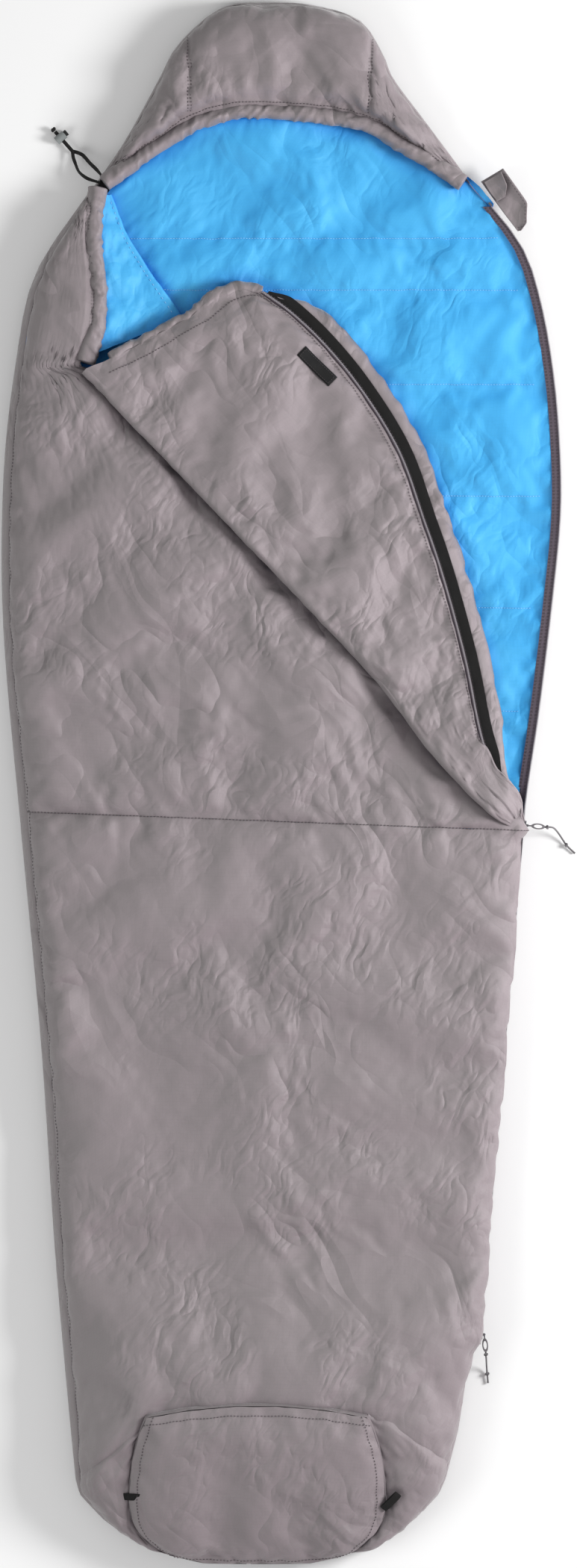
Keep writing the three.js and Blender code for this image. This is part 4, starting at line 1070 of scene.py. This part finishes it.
hood_cloth = settle("hood", seed=13)
hood_cloth = pucker(puff(hood_cloth, ["t0", "t1"], 0.004, 0.012), ["t1", "t0"], 0.0014, 0.02, 0.014, 43)
for k, x in enumerate(HOOD_SEAM_X):
    hood_cloth = rays(hood_cloth, (x, np.interp(x, rim_line[:, 0], rim_line[:, 1])), 0.0035, 0.06, 22, 211 + k)
hood_cloth = rays(hood_cloth, (-0.255, NECK_Y), 0.0022, 0.07, 22, 215)
hood_cloth = rays(hood_cloth, (0.255, NECK_Y), 0.0016, 0.07, 16, 217)
hood_obj = sheet("hood_shell_cloth", hood_cloth, GREY)
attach(hood_obj, "hood")
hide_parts("hood_left_panel", "hood_center_panel", "hood_right_panel", "hood_insulation")

panel_cloth = settle("foot_panel", seed=15)
panel_cloth = pucker(panel_cloth, ALL, 0.0013, 0.02, 0.013, 47)
panel_obj = sheet("foot_panel_cloth", panel_cloth, GREY)
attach(panel_obj, "foot_box")
rim_down = [FOOT.world(with_z(line, 0)) for line in (panel_part(TL, TR, 60),)]
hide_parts("foot_panel_shell", "foot_panel_insulation")
under_panel = FOOT.local(panel_cloth)
under_panel[..., 2] = -0.006
under_panel[..., :2] = centre + (under_panel[..., :2] - centre) * 0.985
under_obj = sheet("foot_panel_lining_cloth", FOOT.world(under_panel), BLUE, up=(0, 0, -1))
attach(under_obj, "foot_box")
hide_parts("foot_panel_lining")
loop_line = FOOT.world(with_z(np.vstack([panel, panel[:1]]), 0.0))
edge_rows = []
for a in np.linspace(0, 1, 5):
    local = with_z(np.vstack([panel, panel[:1]])[::6], lerp(PANEL_Z, -0.006, a))
    local[:, :2] = centre + (local[:, :2] - centre) * (1 + 0.008 * math.sin(math.pi * a))
    edge_rows.append(FOOT.world(local))
edge_obj = sheet("foot_panel_edge", np.stack(edge_rows, 1), GREY, flip=False)
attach(edge_obj, "foot_box")

for side, name, node in ((-1, "foot_side_left", "foot_gusset_left"), (1, "foot_side_right", "foot_gusset_right")):
    grid = settle(name, seed=17 + side)
    grid = pucker(puff(grid, ["t0", "t1"], 0.003, 0.012), ["t1", "t0"], 0.0012, 0.015, 0.013, 51 + side)
    # A tuck under the front's edge, so that no gap opens when the foot end is lifted.
    tucked = [grid[:1] + np.array([0, 0.012 * k, -0.0045 * k]) for k in (3, 2, 1)]
    obj = sheet(name + "_cloth", np.concatenate(tucked + [grid], 0), GREY)
    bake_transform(obj)
    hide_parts(node)

# ------------------------------------------------------------------ flap pieces

flap_cloth = settle("flap", seed=19)
flap_local = FLAP.local(flap_cloth)
hem = flap_local[:, 0]
roll_rows = []
thinner = lerp(0.25, 1.0, smooth((0.893 - hem[:, 0]) / 0.08))
for a in np.linspace(math.pi, 0, 10)[:-1]:
    offset = np.zeros_like(hem)
    offset[:, 1] = -ROLL_OUT * math.sin(a) * thinner
    offset[:, 2] = -ROLL_UP * (1 - math.cos(a)) * thinner
    roll_rows.append(hem + offset)
flap_local = np.concatenate([np.stack(roll_rows, 1), flap_local], 1)
flap_local = pucker(flap_local, ["t1"], 0.0012, 0.016, 0.013, 61)
beside_tape = flap_local[:, -1, 0] < COVER_X
flap_local[beside_tape, -1, 2] = np.clip(flap_local[beside_tape, -1, 2], FLAP_TOP + 0.0010, FLAP_TOP + 0.0020)
flap_local = rays(flap_local, (0.89, 0.0), 0.0022, 0.20, 26, 219)
turned_in = [flap_local[:, -1] + np.array([0.0, 0.0005, -0.0010]) * k for k in (1, 2, 3)]
flap_local = np.concatenate([flap_local, np.stack(turned_in, 1)], 1)
flap_local = rays(flap_local, (0.01, 0.0), 0.0026, 0.15, 30, 221)
flap_obj = sheet("flap_shell_cloth", FLAP.world(flap_local), GREY, up=tuple(FLAP.z))
count_under = int(np.argmax(flap_local[:, -1, 0] > 0.80))
TIP_FROM, TIP_TO = FLAP.world(np.array([(0.893, 0.003, -0.030), (0.800, 0.003, 0.006)]))
tuple(TIP_FROM)
tuple(TIP_TO)
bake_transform(flap_obj)
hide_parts("flap_shell", "flap_insulation")

under_flap = flap_local[:count_under, 9:-3].copy()
under_flap[..., 2] = -0.0072 + 0.0012 * creases(under_flap[..., 0], under_flap[..., 1], 71)
under_flap[:, 0] = flap_local[:count_under, 0]
under_obj = sheet("flap_lining_cloth", FLAP.world(under_flap), BLUE, up=tuple(-FLAP.z))
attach(under_obj, "flap")
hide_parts("flap_lining")


def away_from_coil(distance, line=None):
    """The coil's line moved outwards, away from the flap."""
    return inward(coil_line if line is None else line, -np.asarray(distance))


def flap_band(name, near, far, z_near, z_far, columns, look, ripple=0.0, seed=0, keep=None):
    """A flat band beside the coil, between two distances outwards."""
    rows = []
    for k in np.linspace(0, 1, columns):
        rows.append(with_z(away_from_coil(lerp(near, far, k)), lerp(z_near, z_far, k)))
    P = np.stack(rows, 1)
    if keep is not None:
        P = P[keep]
    along_s = lengths(P[:, 0])[:, None]
    P[..., 2] += ripple * noise(along_s / 0.02, np.linspace(0, 1, columns)[None] * 1.5, seed)
    return FLAP.world(P), sheet(name, FLAP.world(P), look, up=tuple(FLAP.z))


count_c = 360
coil_line = respace(coil_line, count_c)
share = np.linspace(0, 1, count_c)
tape_top = FLAP_TOP + 0.0008
on_flap = coil_line[:, 0] < COVER_X + 0.022
tape_grid, tape_obj = flap_band("flap_zip_tape_cloth", -0.0075, -0.0008, FLAP_TOP - 0.0030, tape_top, 5, TAPE, 0.0, 81, on_flap)
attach(tape_obj, "flap")
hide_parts("flap_zip_tape")
coil_path = FLAP.world(with_z(coil_line[on_flap], tape_top + 0.0007))
coil_obj = coil("flap_zip_coil_teeth", coil_path, 0.0014, 0.0019, COIL, up=tuple(FLAP.z))
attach(coil_obj, "flap")
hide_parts("flap_zip_coil")

DRAFT_WIDTH = 0.037
draft_w = DRAFT_WIDTH * (0.15 + 0.85 * smooth(share / 0.11)) * (0.42 + 0.58 * smooth((1 - share) / 0.16))
SECTION = [(-0.12, 0.0042), (0.0, 0.0050), (0.25, 0.0058), (0.5, 0.0066), (0.7, 0.0066), (0.85, 0.0052), (0.95, 0.0026), (1.0, -0.0008), (0.96, -0.0045), (0.85, -0.0064), (0.5, -0.0070), (0.0, -0.0068), (-0.22, -0.0062)]
section = respace(curve(SECTION, 60), 22)
draft_rows = []
for d, z in section:
    gather = np.exp(-((d - 0.95) / 0.35) ** 2)
    wave = 0.5 - 1.8 * np.abs(noise(share * lengths(coil_line)[-1] / 0.026, np.full(count_c, d * 1.2), 83))
    wide = np.where(d > 0, draft_w, DRAFT_WIDTH) * d + 0.0022 * gather * noise(share * 60, np.full(count_c, 0.3), 85)
    draft_rows.append(with_z(away_from_coil(wide), z + 0.0022 * gather * wave * np.sign(z + 0.002)))
draft_grid = FLAP.world(np.stack(draft_rows, 1))
draft_obj = sheet("draft_tube_cloth", draft_grid, GREY, up=tuple(FLAP.z))
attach(draft_obj, "flap")
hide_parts("draft_tube")
strip_keep = (share > 0.006) & (share < 0.965)
strip_wide = 0.0148 * (0.25 + 0.75 * smooth((0.985 - share) / 0.07)) * (0.2 + 0.8 * smooth(share / 0.05))
strip_rows = [with_z(away_from_coil(0.0032 + k * strip_wide), lerp(0.0066, 0.0076, k)) for k in np.linspace(0, 1, 6)]
strip_grid = np.stack(strip_rows, 1)[strip_keep]
strip_grid[..., 2] += 0.0004 * noise(lengths(strip_grid[:, 0])[:, None] / 0.02, np.linspace(0, 1.5, 6)[None], 87)
strip_grid = FLAP.world(strip_grid)
strip_obj = sheet("anti_snag_webbing", strip_grid, STRIP, up=tuple(FLAP.z))
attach(strip_obj, "flap")
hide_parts("anti_snag_strip")


def channel(name, line, radius, look, seed, wide=1.12, tall=0.92, gather=0.0019, pitch=0.013):
    """A gathered drawcord channel: a soft tube with folds running across it."""
    fine = respace(line, int(lengths(line)[-1] / 0.002) + 1)
    s = lengths(fine)
    ring = circle(24)
    around = 2 + 1.6 * ring[:, 0] + 0.7 * ring[:, 1]

    def section(i):
        skew = s[i] + 0.008 * ring[:, 0] + 0.003 * noise(np.full(24, s[i] / 0.03), around, seed + 3)
        fold = 0.5 - 1.6 * np.abs(noise(skew / pitch, around * 0.5, seed)) + 0.4 * noise(skew / pitch * 2.3, around, seed + 1)
        loose = noise(skew / 0.045, around * 0.25, seed + 2)
        r = radius + gather * fold + 0.0014 * loose
        return ring * r[:, None] * [wide, tall]

    return fine, rings(name, fine, section, look)


neck_path = FLAP.world(with_z(inward(neck_line, 0.0), 0.0012))
line_flap_neck, obj = channel("flap_neck_channel_gathered", neck_path, 0.0090, GREY, 91, tall=0.85)
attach(obj, "flap")
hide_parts("flap_neck_channel")
line_left_neck, obj = channel("neck_channel_left_gathered", NECK_LEFT, 0.0118, GREY, 95, tall=0.95)
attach(obj, "bag")
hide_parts("neck_channel_left")
rim_path = rim_line.copy()
rim_path[:, 2] = np.maximum(rim_path[:, 2], 0.0335) + 0.001
line_rim, obj = channel("hood_rim_channel_gathered", rim_path, 0.0100, GREY, 99)
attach(obj, "hood")
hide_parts("hood_rim_channel", "hood_drawcord")

# ------------------------------------------------------------------ woven label

label_points = FLAP.local(corners("woven_label"))
label_mid = (label_points.min(0) + label_points.max(0)) / 2
edges = label_points[:, :2] - label_mid[:2]
label_turn = math.radians(2)
LABEL_HALF = (0.031, 0.0092)
surface = flap_local[:, 9:].reshape(-1, 3)


def lay_on(points, cloud, lift):
    """Puts points on a cloud of surface points, both in one local frame."""
    out = np.array(points, float)
    for k, p in enumerate(out):
        d = np.sum((cloud[:, :2] - p[:2]) ** 2, axis=1)
        near = np.argsort(d)[:5]
        w = 1 / (d[near] + 1e-6)
        out[k, 2] = np.sum(cloud[near, 2] * w) / w.sum() + lift
    return out


gx, gy = np.meshgrid(np.linspace(-1, 1, 19), np.linspace(-1, 1, 8), indexing="ij")
lx, ly = gx * LABEL_HALF[0], gy * LABEL_HALF[1]
flat_label = np.stack([label_mid[0] + lx * math.cos(label_turn) - ly * math.sin(label_turn), label_mid[1] + lx * math.sin(label_turn) + ly * math.cos(label_turn), 0 * lx], -1)
laid = lay_on(flat_label.reshape(-1, 3), surface, 0.0).reshape(flat_label.shape)
rest_on = lerp(laid[..., 2], laid[..., 2].mean(), 0.5)
flat_label[..., 2] = np.maximum(rest_on + 0.0018, laid[..., 2] + 0.0012) - 0.0004 * gy**4
label_obj = sheet("label_blank", FLAP.world(flat_label), LABEL, up=tuple(FLAP.z))
label_obj.modifiers.new("thick", "SOLIDIFY").thickness = 0.0009
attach(label_obj, "flap")
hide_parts("woven_label")

# ------------------------------------------------------------------ zip on the bag

TOP_STOP_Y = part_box("zip_top_stop")[0].y
open_y = np.linspace(SPLIT[1] + 0.002, TOP_STOP_Y, 300)
lean = smooth((open_y - SPLIT[1]) / 0.06)
edge_at = np.where(open_y < -0.03, lerp(SPLIT[0], right_x(-0.03), (open_y - SPLIT[1]) / (-0.03 - SPLIT[1])), right_x(open_y))
tape_outer = np.column_stack([edge_at - 0.0002, open_y, np.full(300, 0.0296)])
tape_inner = np.column_stack([edge_at - lerp(0.0004, 0.0125, lean), open_y, lerp(0.0180, 0.0268, lean)])
open_tape = ruled(tape_outer, tape_inner, 5)
open_tape[..., 2] += 0.0004 * noise(open_y[:, None] / 0.03, np.linspace(0, 1, 5)[None], 101) * np.linspace(0, 1, 5)[None]
closed_back = ruled(ZIP_END + zip_dir * np.linspace(-0.010, np.linalg.norm(SPLIT - ZIP_END), 200)[:, None] + [0, 0, 0.0288 - CHAIN_Z], ZIP_END + zip_dir * np.linspace(-0.010, np.linalg.norm(SPLIT - ZIP_END), 200)[:, None] + [0, 0, 0.0180 - CHAIN_Z], 4)
obj = sheet("zip_tape_open_side", open_tape, TAPE)
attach(obj, "bag")
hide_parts("zip_tape_back")
obj = sheet("zip_tape_closed_back", closed_back, TAPE, up=(1, 0, 0))
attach(obj, "bag")
front_tape = closed_back + [0, 0, 0.0346 - 0.0180]
front_tape[:, 0, 2], front_tape[:, -1, 2] = 0.0460, 0.0346
obj = sheet("zip_tape_closed_front", ruled(front_tape[:, -1], front_tape[:, 0], 4), TAPE, up=(1, 0, 0))
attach(obj, "bag")
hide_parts("zip_tape_front")
closed_axis = ZIP_END + zip_dir * np.linspace(-0.010, np.linalg.norm(SPLIT - ZIP_END) - 0.004, 200)[:, None]
back_axis = np.vstack([closed_axis + [0, 0, 0.0300 - CHAIN_Z], np.column_stack([edge_at, open_y, np.full(300, 0.0303)])[3:]])
obj = coil("zip_coil_back_teeth", back_axis, 0.0011, 0.0019, COIL)
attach(obj, "bag")
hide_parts("zip_coil_back")
obj = coil("zip_coil_front_teeth", closed_axis + [0, 0, 0.0334 - CHAIN_Z], 0.0011, 0.0019, COIL)
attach(obj, "bag")
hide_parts("zip_coil_front")

# ------------------------------------------------------------------ cords


def trefoil(centre_at, size, thick, turn_axes, count=72):
    """The path of a tight overhand knot."""
    a = np.linspace(0, 2 * math.pi, count)
    flat_knot = np.stack([np.sin(a) + 2 * np.sin(2 * a), np.cos(a) - 2 * np.cos(2 * a), -1.3 * np.sin(3 * a)], 1) / 3
    return np.asarray(centre_at) + size * (flat_knot @ np.asarray(turn_axes))


def framed_tube(name, line, radius, look, sides=8):
    """A tube whose rings don't flip on a path that turns through every direction."""
    along = unit(np.gradient(line, axis=0))
    side = unit(np.cross(along[0], [0.3, 0.2, 1.0]))
    P = []
    ring = circle(sides)
    for p, t_dir, r in zip(line, along, np.broadcast_to(radius, (len(line),))):
        side = unit(side - t_dir * np.dot(side, t_dir))
        other = np.cross(t_dir, side)
        P.append(p + r * (ring[:, :1] * side + ring[:, 1:] * other))
    P = np.array(P)
    uv = np.stack(np.broadcast_arrays(np.linspace(0, 1, sides)[None] * 0.01, lengths(line)[:, None]), -1)
    return mesh_object(name, P, quads(len(line), sides, loop=True), look, uv)


TAB = 0.025


def pull_cord(name, joint, direction, bend, body_name, node):
    low = 0.0030 - CHAIN_Z
    start = TAB + 0.0032
    pull = Axes(JOINT[joint]["pos_m"], direction, (0, 0, 1))
    path = curve([(start - 0.003, 0, 0), (start + 0.008, 0, -0.006), (start + 0.016, -0.25 * bend, low + 0.008), (start + 0.025, -0.7 * bend, low + 0.001), (start + 0.031, -bend, low), (start + 0.043, -1.4 * bend, low - 0.001)], 60)
    far = lengths(path)
    fray = 0.0013 + 0.0003 * smooth((far - far[-1] + 0.004) / 0.004)
    rope = framed_tube(name, pull.world(path), fray, PULLCORD)
    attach(rope, body_name)
    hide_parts(node)
    for k, (at, size) in enumerate([((start, 0, 0), 0.0021), ((start + 0.030, -0.96 * bend, low + 0.0006), 0.0023)]):
        knot = framed_tube(f"{name}_knot_{k}", trefoil(pull.world(np.array([at]))[0], size, 0, pull.rows[[1, 2, 0]]), 0.0012, PULLCORD)
        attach(knot, body_name)


pull_cord("pull_cord_upper_rope", "upper_pull_swing", zip_out, 0.024, "upper_pull", "pull_cord_upper")
lower_dir = np.array([math.cos(math.radians(-80)), math.sin(math.radians(-80))])
lower_dir = zip_out * lower_dir[0] + zip_dir * lower_dir[1]
pull_cord("pull_cord_lower_rope", "lower_pull_swing", lower_dir, 0.0, "lower_pull", "pull_cord_lower")

corner = LOCK.local(np.array([[-0.2555, 0.8485, 0.036]]))[0]
mid_path = curve([corner, (-0.066, 0.002, 0.0185), (-0.054, 0.003, 0.0105), (-0.044, 0.002, 0.0060), (-0.034, 0.0, 0.0022), (-0.024, 0, 0.0003), (-0.012, 0, 0), (0, 0, 0), (0.0115, 0, -0.0004)], 110)
past_lock = smooth((-mid_path[:, 0] - 0.026) / 0.012)
bow = np.sin(math.pi * np.clip((-mid_path[:, 0] - 0.026) / (-corner[0] - 0.026), 0, 1)) ** 0.8
turn = 0.9 * past_lock * np.sin(-mid_path[:, 0] * 90)
for k, sign in enumerate((1, -1)):
    sway = 0.0012 * noise(mid_path[:, 0] * 70, 0 * turn, 131 + k) * past_lock
    side_shift = sign * (0.0095 * bow + 0.0022 * past_lock * (1 - bow)) + sway
    path = mid_path + np.stack([0 * turn, side_shift, sign * 0.00095 * (1 - 0.6 * past_lock)], 1)
    turn = -turn + 0.5 * k * past_lock
    obj = strap(f"drawcord_strand_{k}", LOCK.world(path), lerp(0.0048, 0.0052, k), 0.0014, CORD, turn)
    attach(obj, "bag")
    if k == 0:
        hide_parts("drawcord_loop")
knot_axes = LOCK.rows[[1, 2, 0]]
obj = framed_tube("drawcord_knot", trefoil(LOCK.world(np.array([[0.0152, 0, -0.0008]]))[0], 0.0026, 0, knot_axes), 0.0016, CORD)
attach(obj, "bag")
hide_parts("cord_end_knot")

# ------------------------------------------------------------------ zip garage tab


def tab_sheet(name, hinge, far, z, curl, body_name, node, seed, columns=12):
    a = respace(curve([(*p, z) for p in hinge], 60), 16)
    b = respace(np.array([(*p, z) for p in far]), 16)
    P = ruled(a, b, columns)
    s, t = np.meshgrid(np.linspace(0, 1, 16), np.linspace(0, 1, columns), indexing="ij")
    P[..., 2] += curl * (t**2) * (0.4 + 0.6 * np.cos(2.2 * (s - 0.4))) + 0.0012 * noise(s * 3, t * 3, seed)
    P = finer(P)
    obj = sheet(name, P, GREY)
    obj.modifiers.new("thick", "SOLIDIFY").thickness = 0.0011
    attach(obj, body_name)
    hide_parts(node)
    return P


tab_low, tab_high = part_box("zip_garage_tab")
x0, y0, x1, y1 = tab_low.x, tab_low.y, tab_high.x, tab_high.y
tab_grid = tab_sheet("zip_garage_tab_cloth", [(x0, y1 - 0.018), (x0 + 0.026, y0 + 0.034), (x1 - 0.013, y0)], [(x1 - 0.034, y1), (x1 - 0.017, y1 - 0.024), (x1, y0 + 0.040), (x1 - 0.001, y0 + 0.011), (x1 - 0.009, y0 + 0.001)], tab_high.z, 0.006, "garage_tab", "zip_garage_tab", 111)
fold_low, fold_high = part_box("zip_garage_tab_fold")
inner_tab = tab_sheet("zip_garage_tab_inner_fold", [(fold_low.x + 0.001, fold_high.y - 0.012), (fold_low.x + 0.010, fold_low.y + 0.012), (fold_low.x + 0.020, fold_low.y)], [(fold_high.x - 0.006, fold_high.y + 0.002), (fold_high.x + 0.002, fold_low.y + 0.022), (fold_high.x, fold_low.y + 0.006)], fold_high.z + 0.001, 0.008, "garage_tab", "zip_garage_tab_fold", 113)

# ------------------------------------------------------------------ hanging loops


def hanging_loop(name, joint, far_dir, top_dir, body_name, node, open_height):
    loop = Axes(JOINT[joint]["pos_m"], far_dir, top_dir)
    reach = 0.030
    path = curve([(-0.002, 0, 0.0006), (0.008, 0, 0.0007), (reach - 0.006, 0, 0.0012), (reach, 0, 0.0012 + open_height / 2), (reach - 0.005, 0, 0.0016 + open_height), (0.010, 0, 0.0024 + open_height * 0.6), (-0.002, 0, 0.0022)], 50)
    along_path = unit(np.gradient(path, axis=0))
    half_w = 0.0050
    rows = []
    for sx, st in ((-1, -1), (1, -1), (1, 1), (-1, 1)):
        normal = np.stack([-along_path[:, 2], 0 * along_path[:, 0], along_path[:, 0]], 1)
        rows.append(path + [0, sx * half_w, 0] + normal * st * 0.0006)
    P = loop.world(np.stack(rows, 1))
    uv = np.stack(np.broadcast_arrays(np.array([[0, 0.010, 0.0112, 0.0212]]), lengths(path)[:, None]), -1)
    obj = mesh_object(name, P, quads(len(path), 4, loop=True), STRIP, uv, soft=False)
    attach(obj, body_name)
    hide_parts(node)


left_axis = np.array(JOINT["hang_loop_left_turn"]["axis"])
right_axis = np.array(JOINT["hang_loop_right_turn"]["axis"])
left_flat, right_flat = flat_normal("hang_loop_left"), FOOT.z
hanging_loop("hang_loop_left_webbing", "hang_loop_left_turn", np.cross(left_axis, left_flat), left_flat, "hang_loop_left", "hang_loop_left", 0.0008)
hanging_loop("hang_loop_right_webbing", "hang_loop_right_turn", np.cross(right_axis, right_flat), right_flat, "hang_loop_right", "hang_loop_right", 0.0045)

# ------------------------------------------------------------------ CAD parts that stay: hard fittings

FITTINGS = {"zip_slider_upper": METAL, "zip_slider_lower": METAL, "pull_tab_upper": PULLCORD, "pull_tab_lower": PULLCORD, "zip_bottom_stop": METAL, "zip_top_stop": METAL, "cord_lock_body": CLEAR, "cord_lock_button": BLACK, "cord_lock_spring": STEEL}
for node, look in FITTINGS.items():
    part = frame["nodes"][node]
    for k in range(max(len(part.data.materials), 1)):
        if k < len(part.data.materials):
            part.data.materials[k] = look
        else:
            part.data.materials.append(look)
    bevel = part.modifiers.new("edge", "BEVEL")
    bevel.width, bevel.segments, bevel.limit_method = 0.00025, 2, "ANGLE"

# ------------------------------------------------------------------ seams and stitching


def lifted(line, distance=0.0004):
    return line + np.array([0, 0, distance])


def grid_line(P, column=None, row=None):
    return P[:, column] if row is None else P[row]


sewn = stitches("stitches_cross_seam", [lifted(lower[-1], 0.0008)], THREAD)
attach(sewn, "bag")
side = stitches("stitches_side_seams", [lifted(lower[:, 1]), lifted(upper[:, 1])], THREAD, up=(-1, 0, 0.6))
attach(side, "bag")
obj = stitches("stitches_foot_panel", [panel_cloth[:, 2] + FOOT.z * 0.0006, panel_cloth[:, -3] + FOOT.z * 0.0006, panel_cloth[2] + FOOT.z * 0.0006, panel_cloth[-3] + FOOT.z * 0.0006], THREAD, up=tuple(FOOT.z))
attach(obj, "foot_box")
hood_seams = [2 * SPANS[0], 2 * (SPANS[0] + SPANS[1])]
obj = stitches("stitches_hood", [hood_cloth[k, 2:-2] + [0.0022 * s, 0, 0.0008] for k in hood_seams for s in (-1, 1)], THREAD)
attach(obj, "hood")
obj = stitches("stitches_hood_rim", [lifted(hood_cloth[:, -2], 0.0008)], THREAD)
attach(obj, "hood")
quilt_lines = []
for y in QUILT:
    row = np.argmin(np.abs(floor_ys - y)) * 2
    quilt_lines.append(lifted(floor_cloth[row, 2:-3], 0.0005))
quilt_bag = [l for l in quilt_lines if l[0, 1] < NECK_Y - 0.02]
obj = stitches("stitches_quilting", quilt_bag, BLUE_THREAD, length=0.0030, gap=0.0010, thick=0.00034)
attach(obj, "bag")
obj = stitches("stitches_floor_tape", [lifted(open_tape[8:, 3], 0.0004), lifted(open_tape[8:, 1], 0.0003)], THREAD)
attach(obj, "bag")
tape_lines = [FLAP.world(flap_local[beside_tape, -5]) + FLAP.z * 0.0012, strip_grid[:, 0] + FLAP.z * 0.0004, strip_grid[:, -1] + FLAP.z * 0.0004]
obj = stitches("stitches_flap_zip", tape_lines[:2], THREAD, up=tuple(FLAP.z))
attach(obj, "flap")
border = np.vstack([flat_label[1:-1, 1], flat_label[-2, 1:-1], flat_label[1:-1, -2][::-1], flat_label[1, 1:-1][::-1]])
obj = stitches("stitches_label", [FLAP.world(border + [0, 0, 0.0003])], THREAD, length=0.0022, gap=0.0014, thick=0.0003, up=tuple(FLAP.z))
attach(obj, "flap")
facing_edge = [lifted(facing[2:-2, -7], 0.0005)]
obj = stitches("stitches_neck_facing", facing_edge, BLUE_THREAD, length=0.0038, gap=0.0038, thick=0.0004)
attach(obj, "bag")
neck_stitch = [line_left_neck + [-0.0105, 0, 0.0052]]
obj = stitches("stitches_left_neck", [lifted(upper[-44:, -2], 0.002)], THREAD)
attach(obj, "bag")
obj = stitches("stitches_flap_neck", [FLAP.world(flap_local[3:5, 12:-2].mean(0)) + FLAP.z * 0.0006], THREAD, up=tuple(FLAP.z))
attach(obj, "flap")
tab_border = np.vstack([tab_grid[2:-2, -3], tab_grid[-3, 2:-3][::-1]])
obj = stitches("stitches_tab", [lifted(tab_border, 0.0009)], THREAD, thick=0.0003)
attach(obj, "garage_tab")

# ------------------------------------------------------------------ floor, light and camera


def stage_scene():
    world = bpy.data.worlds.new("studio")
    bpy.context.scene.world = world
    world.use_nodes = True
    world.node_tree.nodes["Background"].inputs[0].default_value = (1, 1, 1, 1)
    world.node_tree.nodes["Background"].inputs[1].default_value = 0.42
    size = 12
    corner = np.array([(-size, -size, -0.001), (size, -size, -0.001), (size, size, -0.001), (-size, size, -0.001)])
    look = plain("studio_floor", (250, 250, 250), 0.9, wear=0.01, scale=3.0, bump=0.0)
    mesh = bpy.data.meshes.new("studio_floor")
    mesh.from_pydata(corner.tolist(), [], [(0, 1, 2, 3)])
    mesh.materials.append(look)
    ground = bpy.data.objects.new("studio_floor", mesh)
    bpy.context.scene.collection.objects.link(ground)

    def area(name, place, target, power, width):
        lamp = bpy.data.lights.new(name, "AREA")
        lamp.energy, lamp.size = power, width
        obj = bpy.data.objects.new(name, lamp)
        obj.location = place
        obj.rotation_euler = (Vector(target) - Vector(place)).to_track_quat("-Z", "Y").to_euler()
        bpy.context.scene.collection.objects.link(obj)

    area("key", (3.3, 0.4, 1.9), (0, 0, 0), 160, 1.2)
    area("fill", (-2.6, -1.2, 2.4), (0, 0, 0), 40, 2.0)

    lens = bpy.data.cameras.new("camera")
    camera = bpy.data.objects.new("camera", lens)
    distance, tall = 9.0, 2.209
    camera.location = (0.0068, 0.0, distance)
    lens.sensor_width = 36
    lens.lens = lens.sensor_width * (distance - 0.03) / tall
    bpy.context.scene.collection.objects.link(camera)
    bpy.context.scene.camera = camera
    bpy.context.scene.view_settings.view_transform = "Standard"


stage_scene()
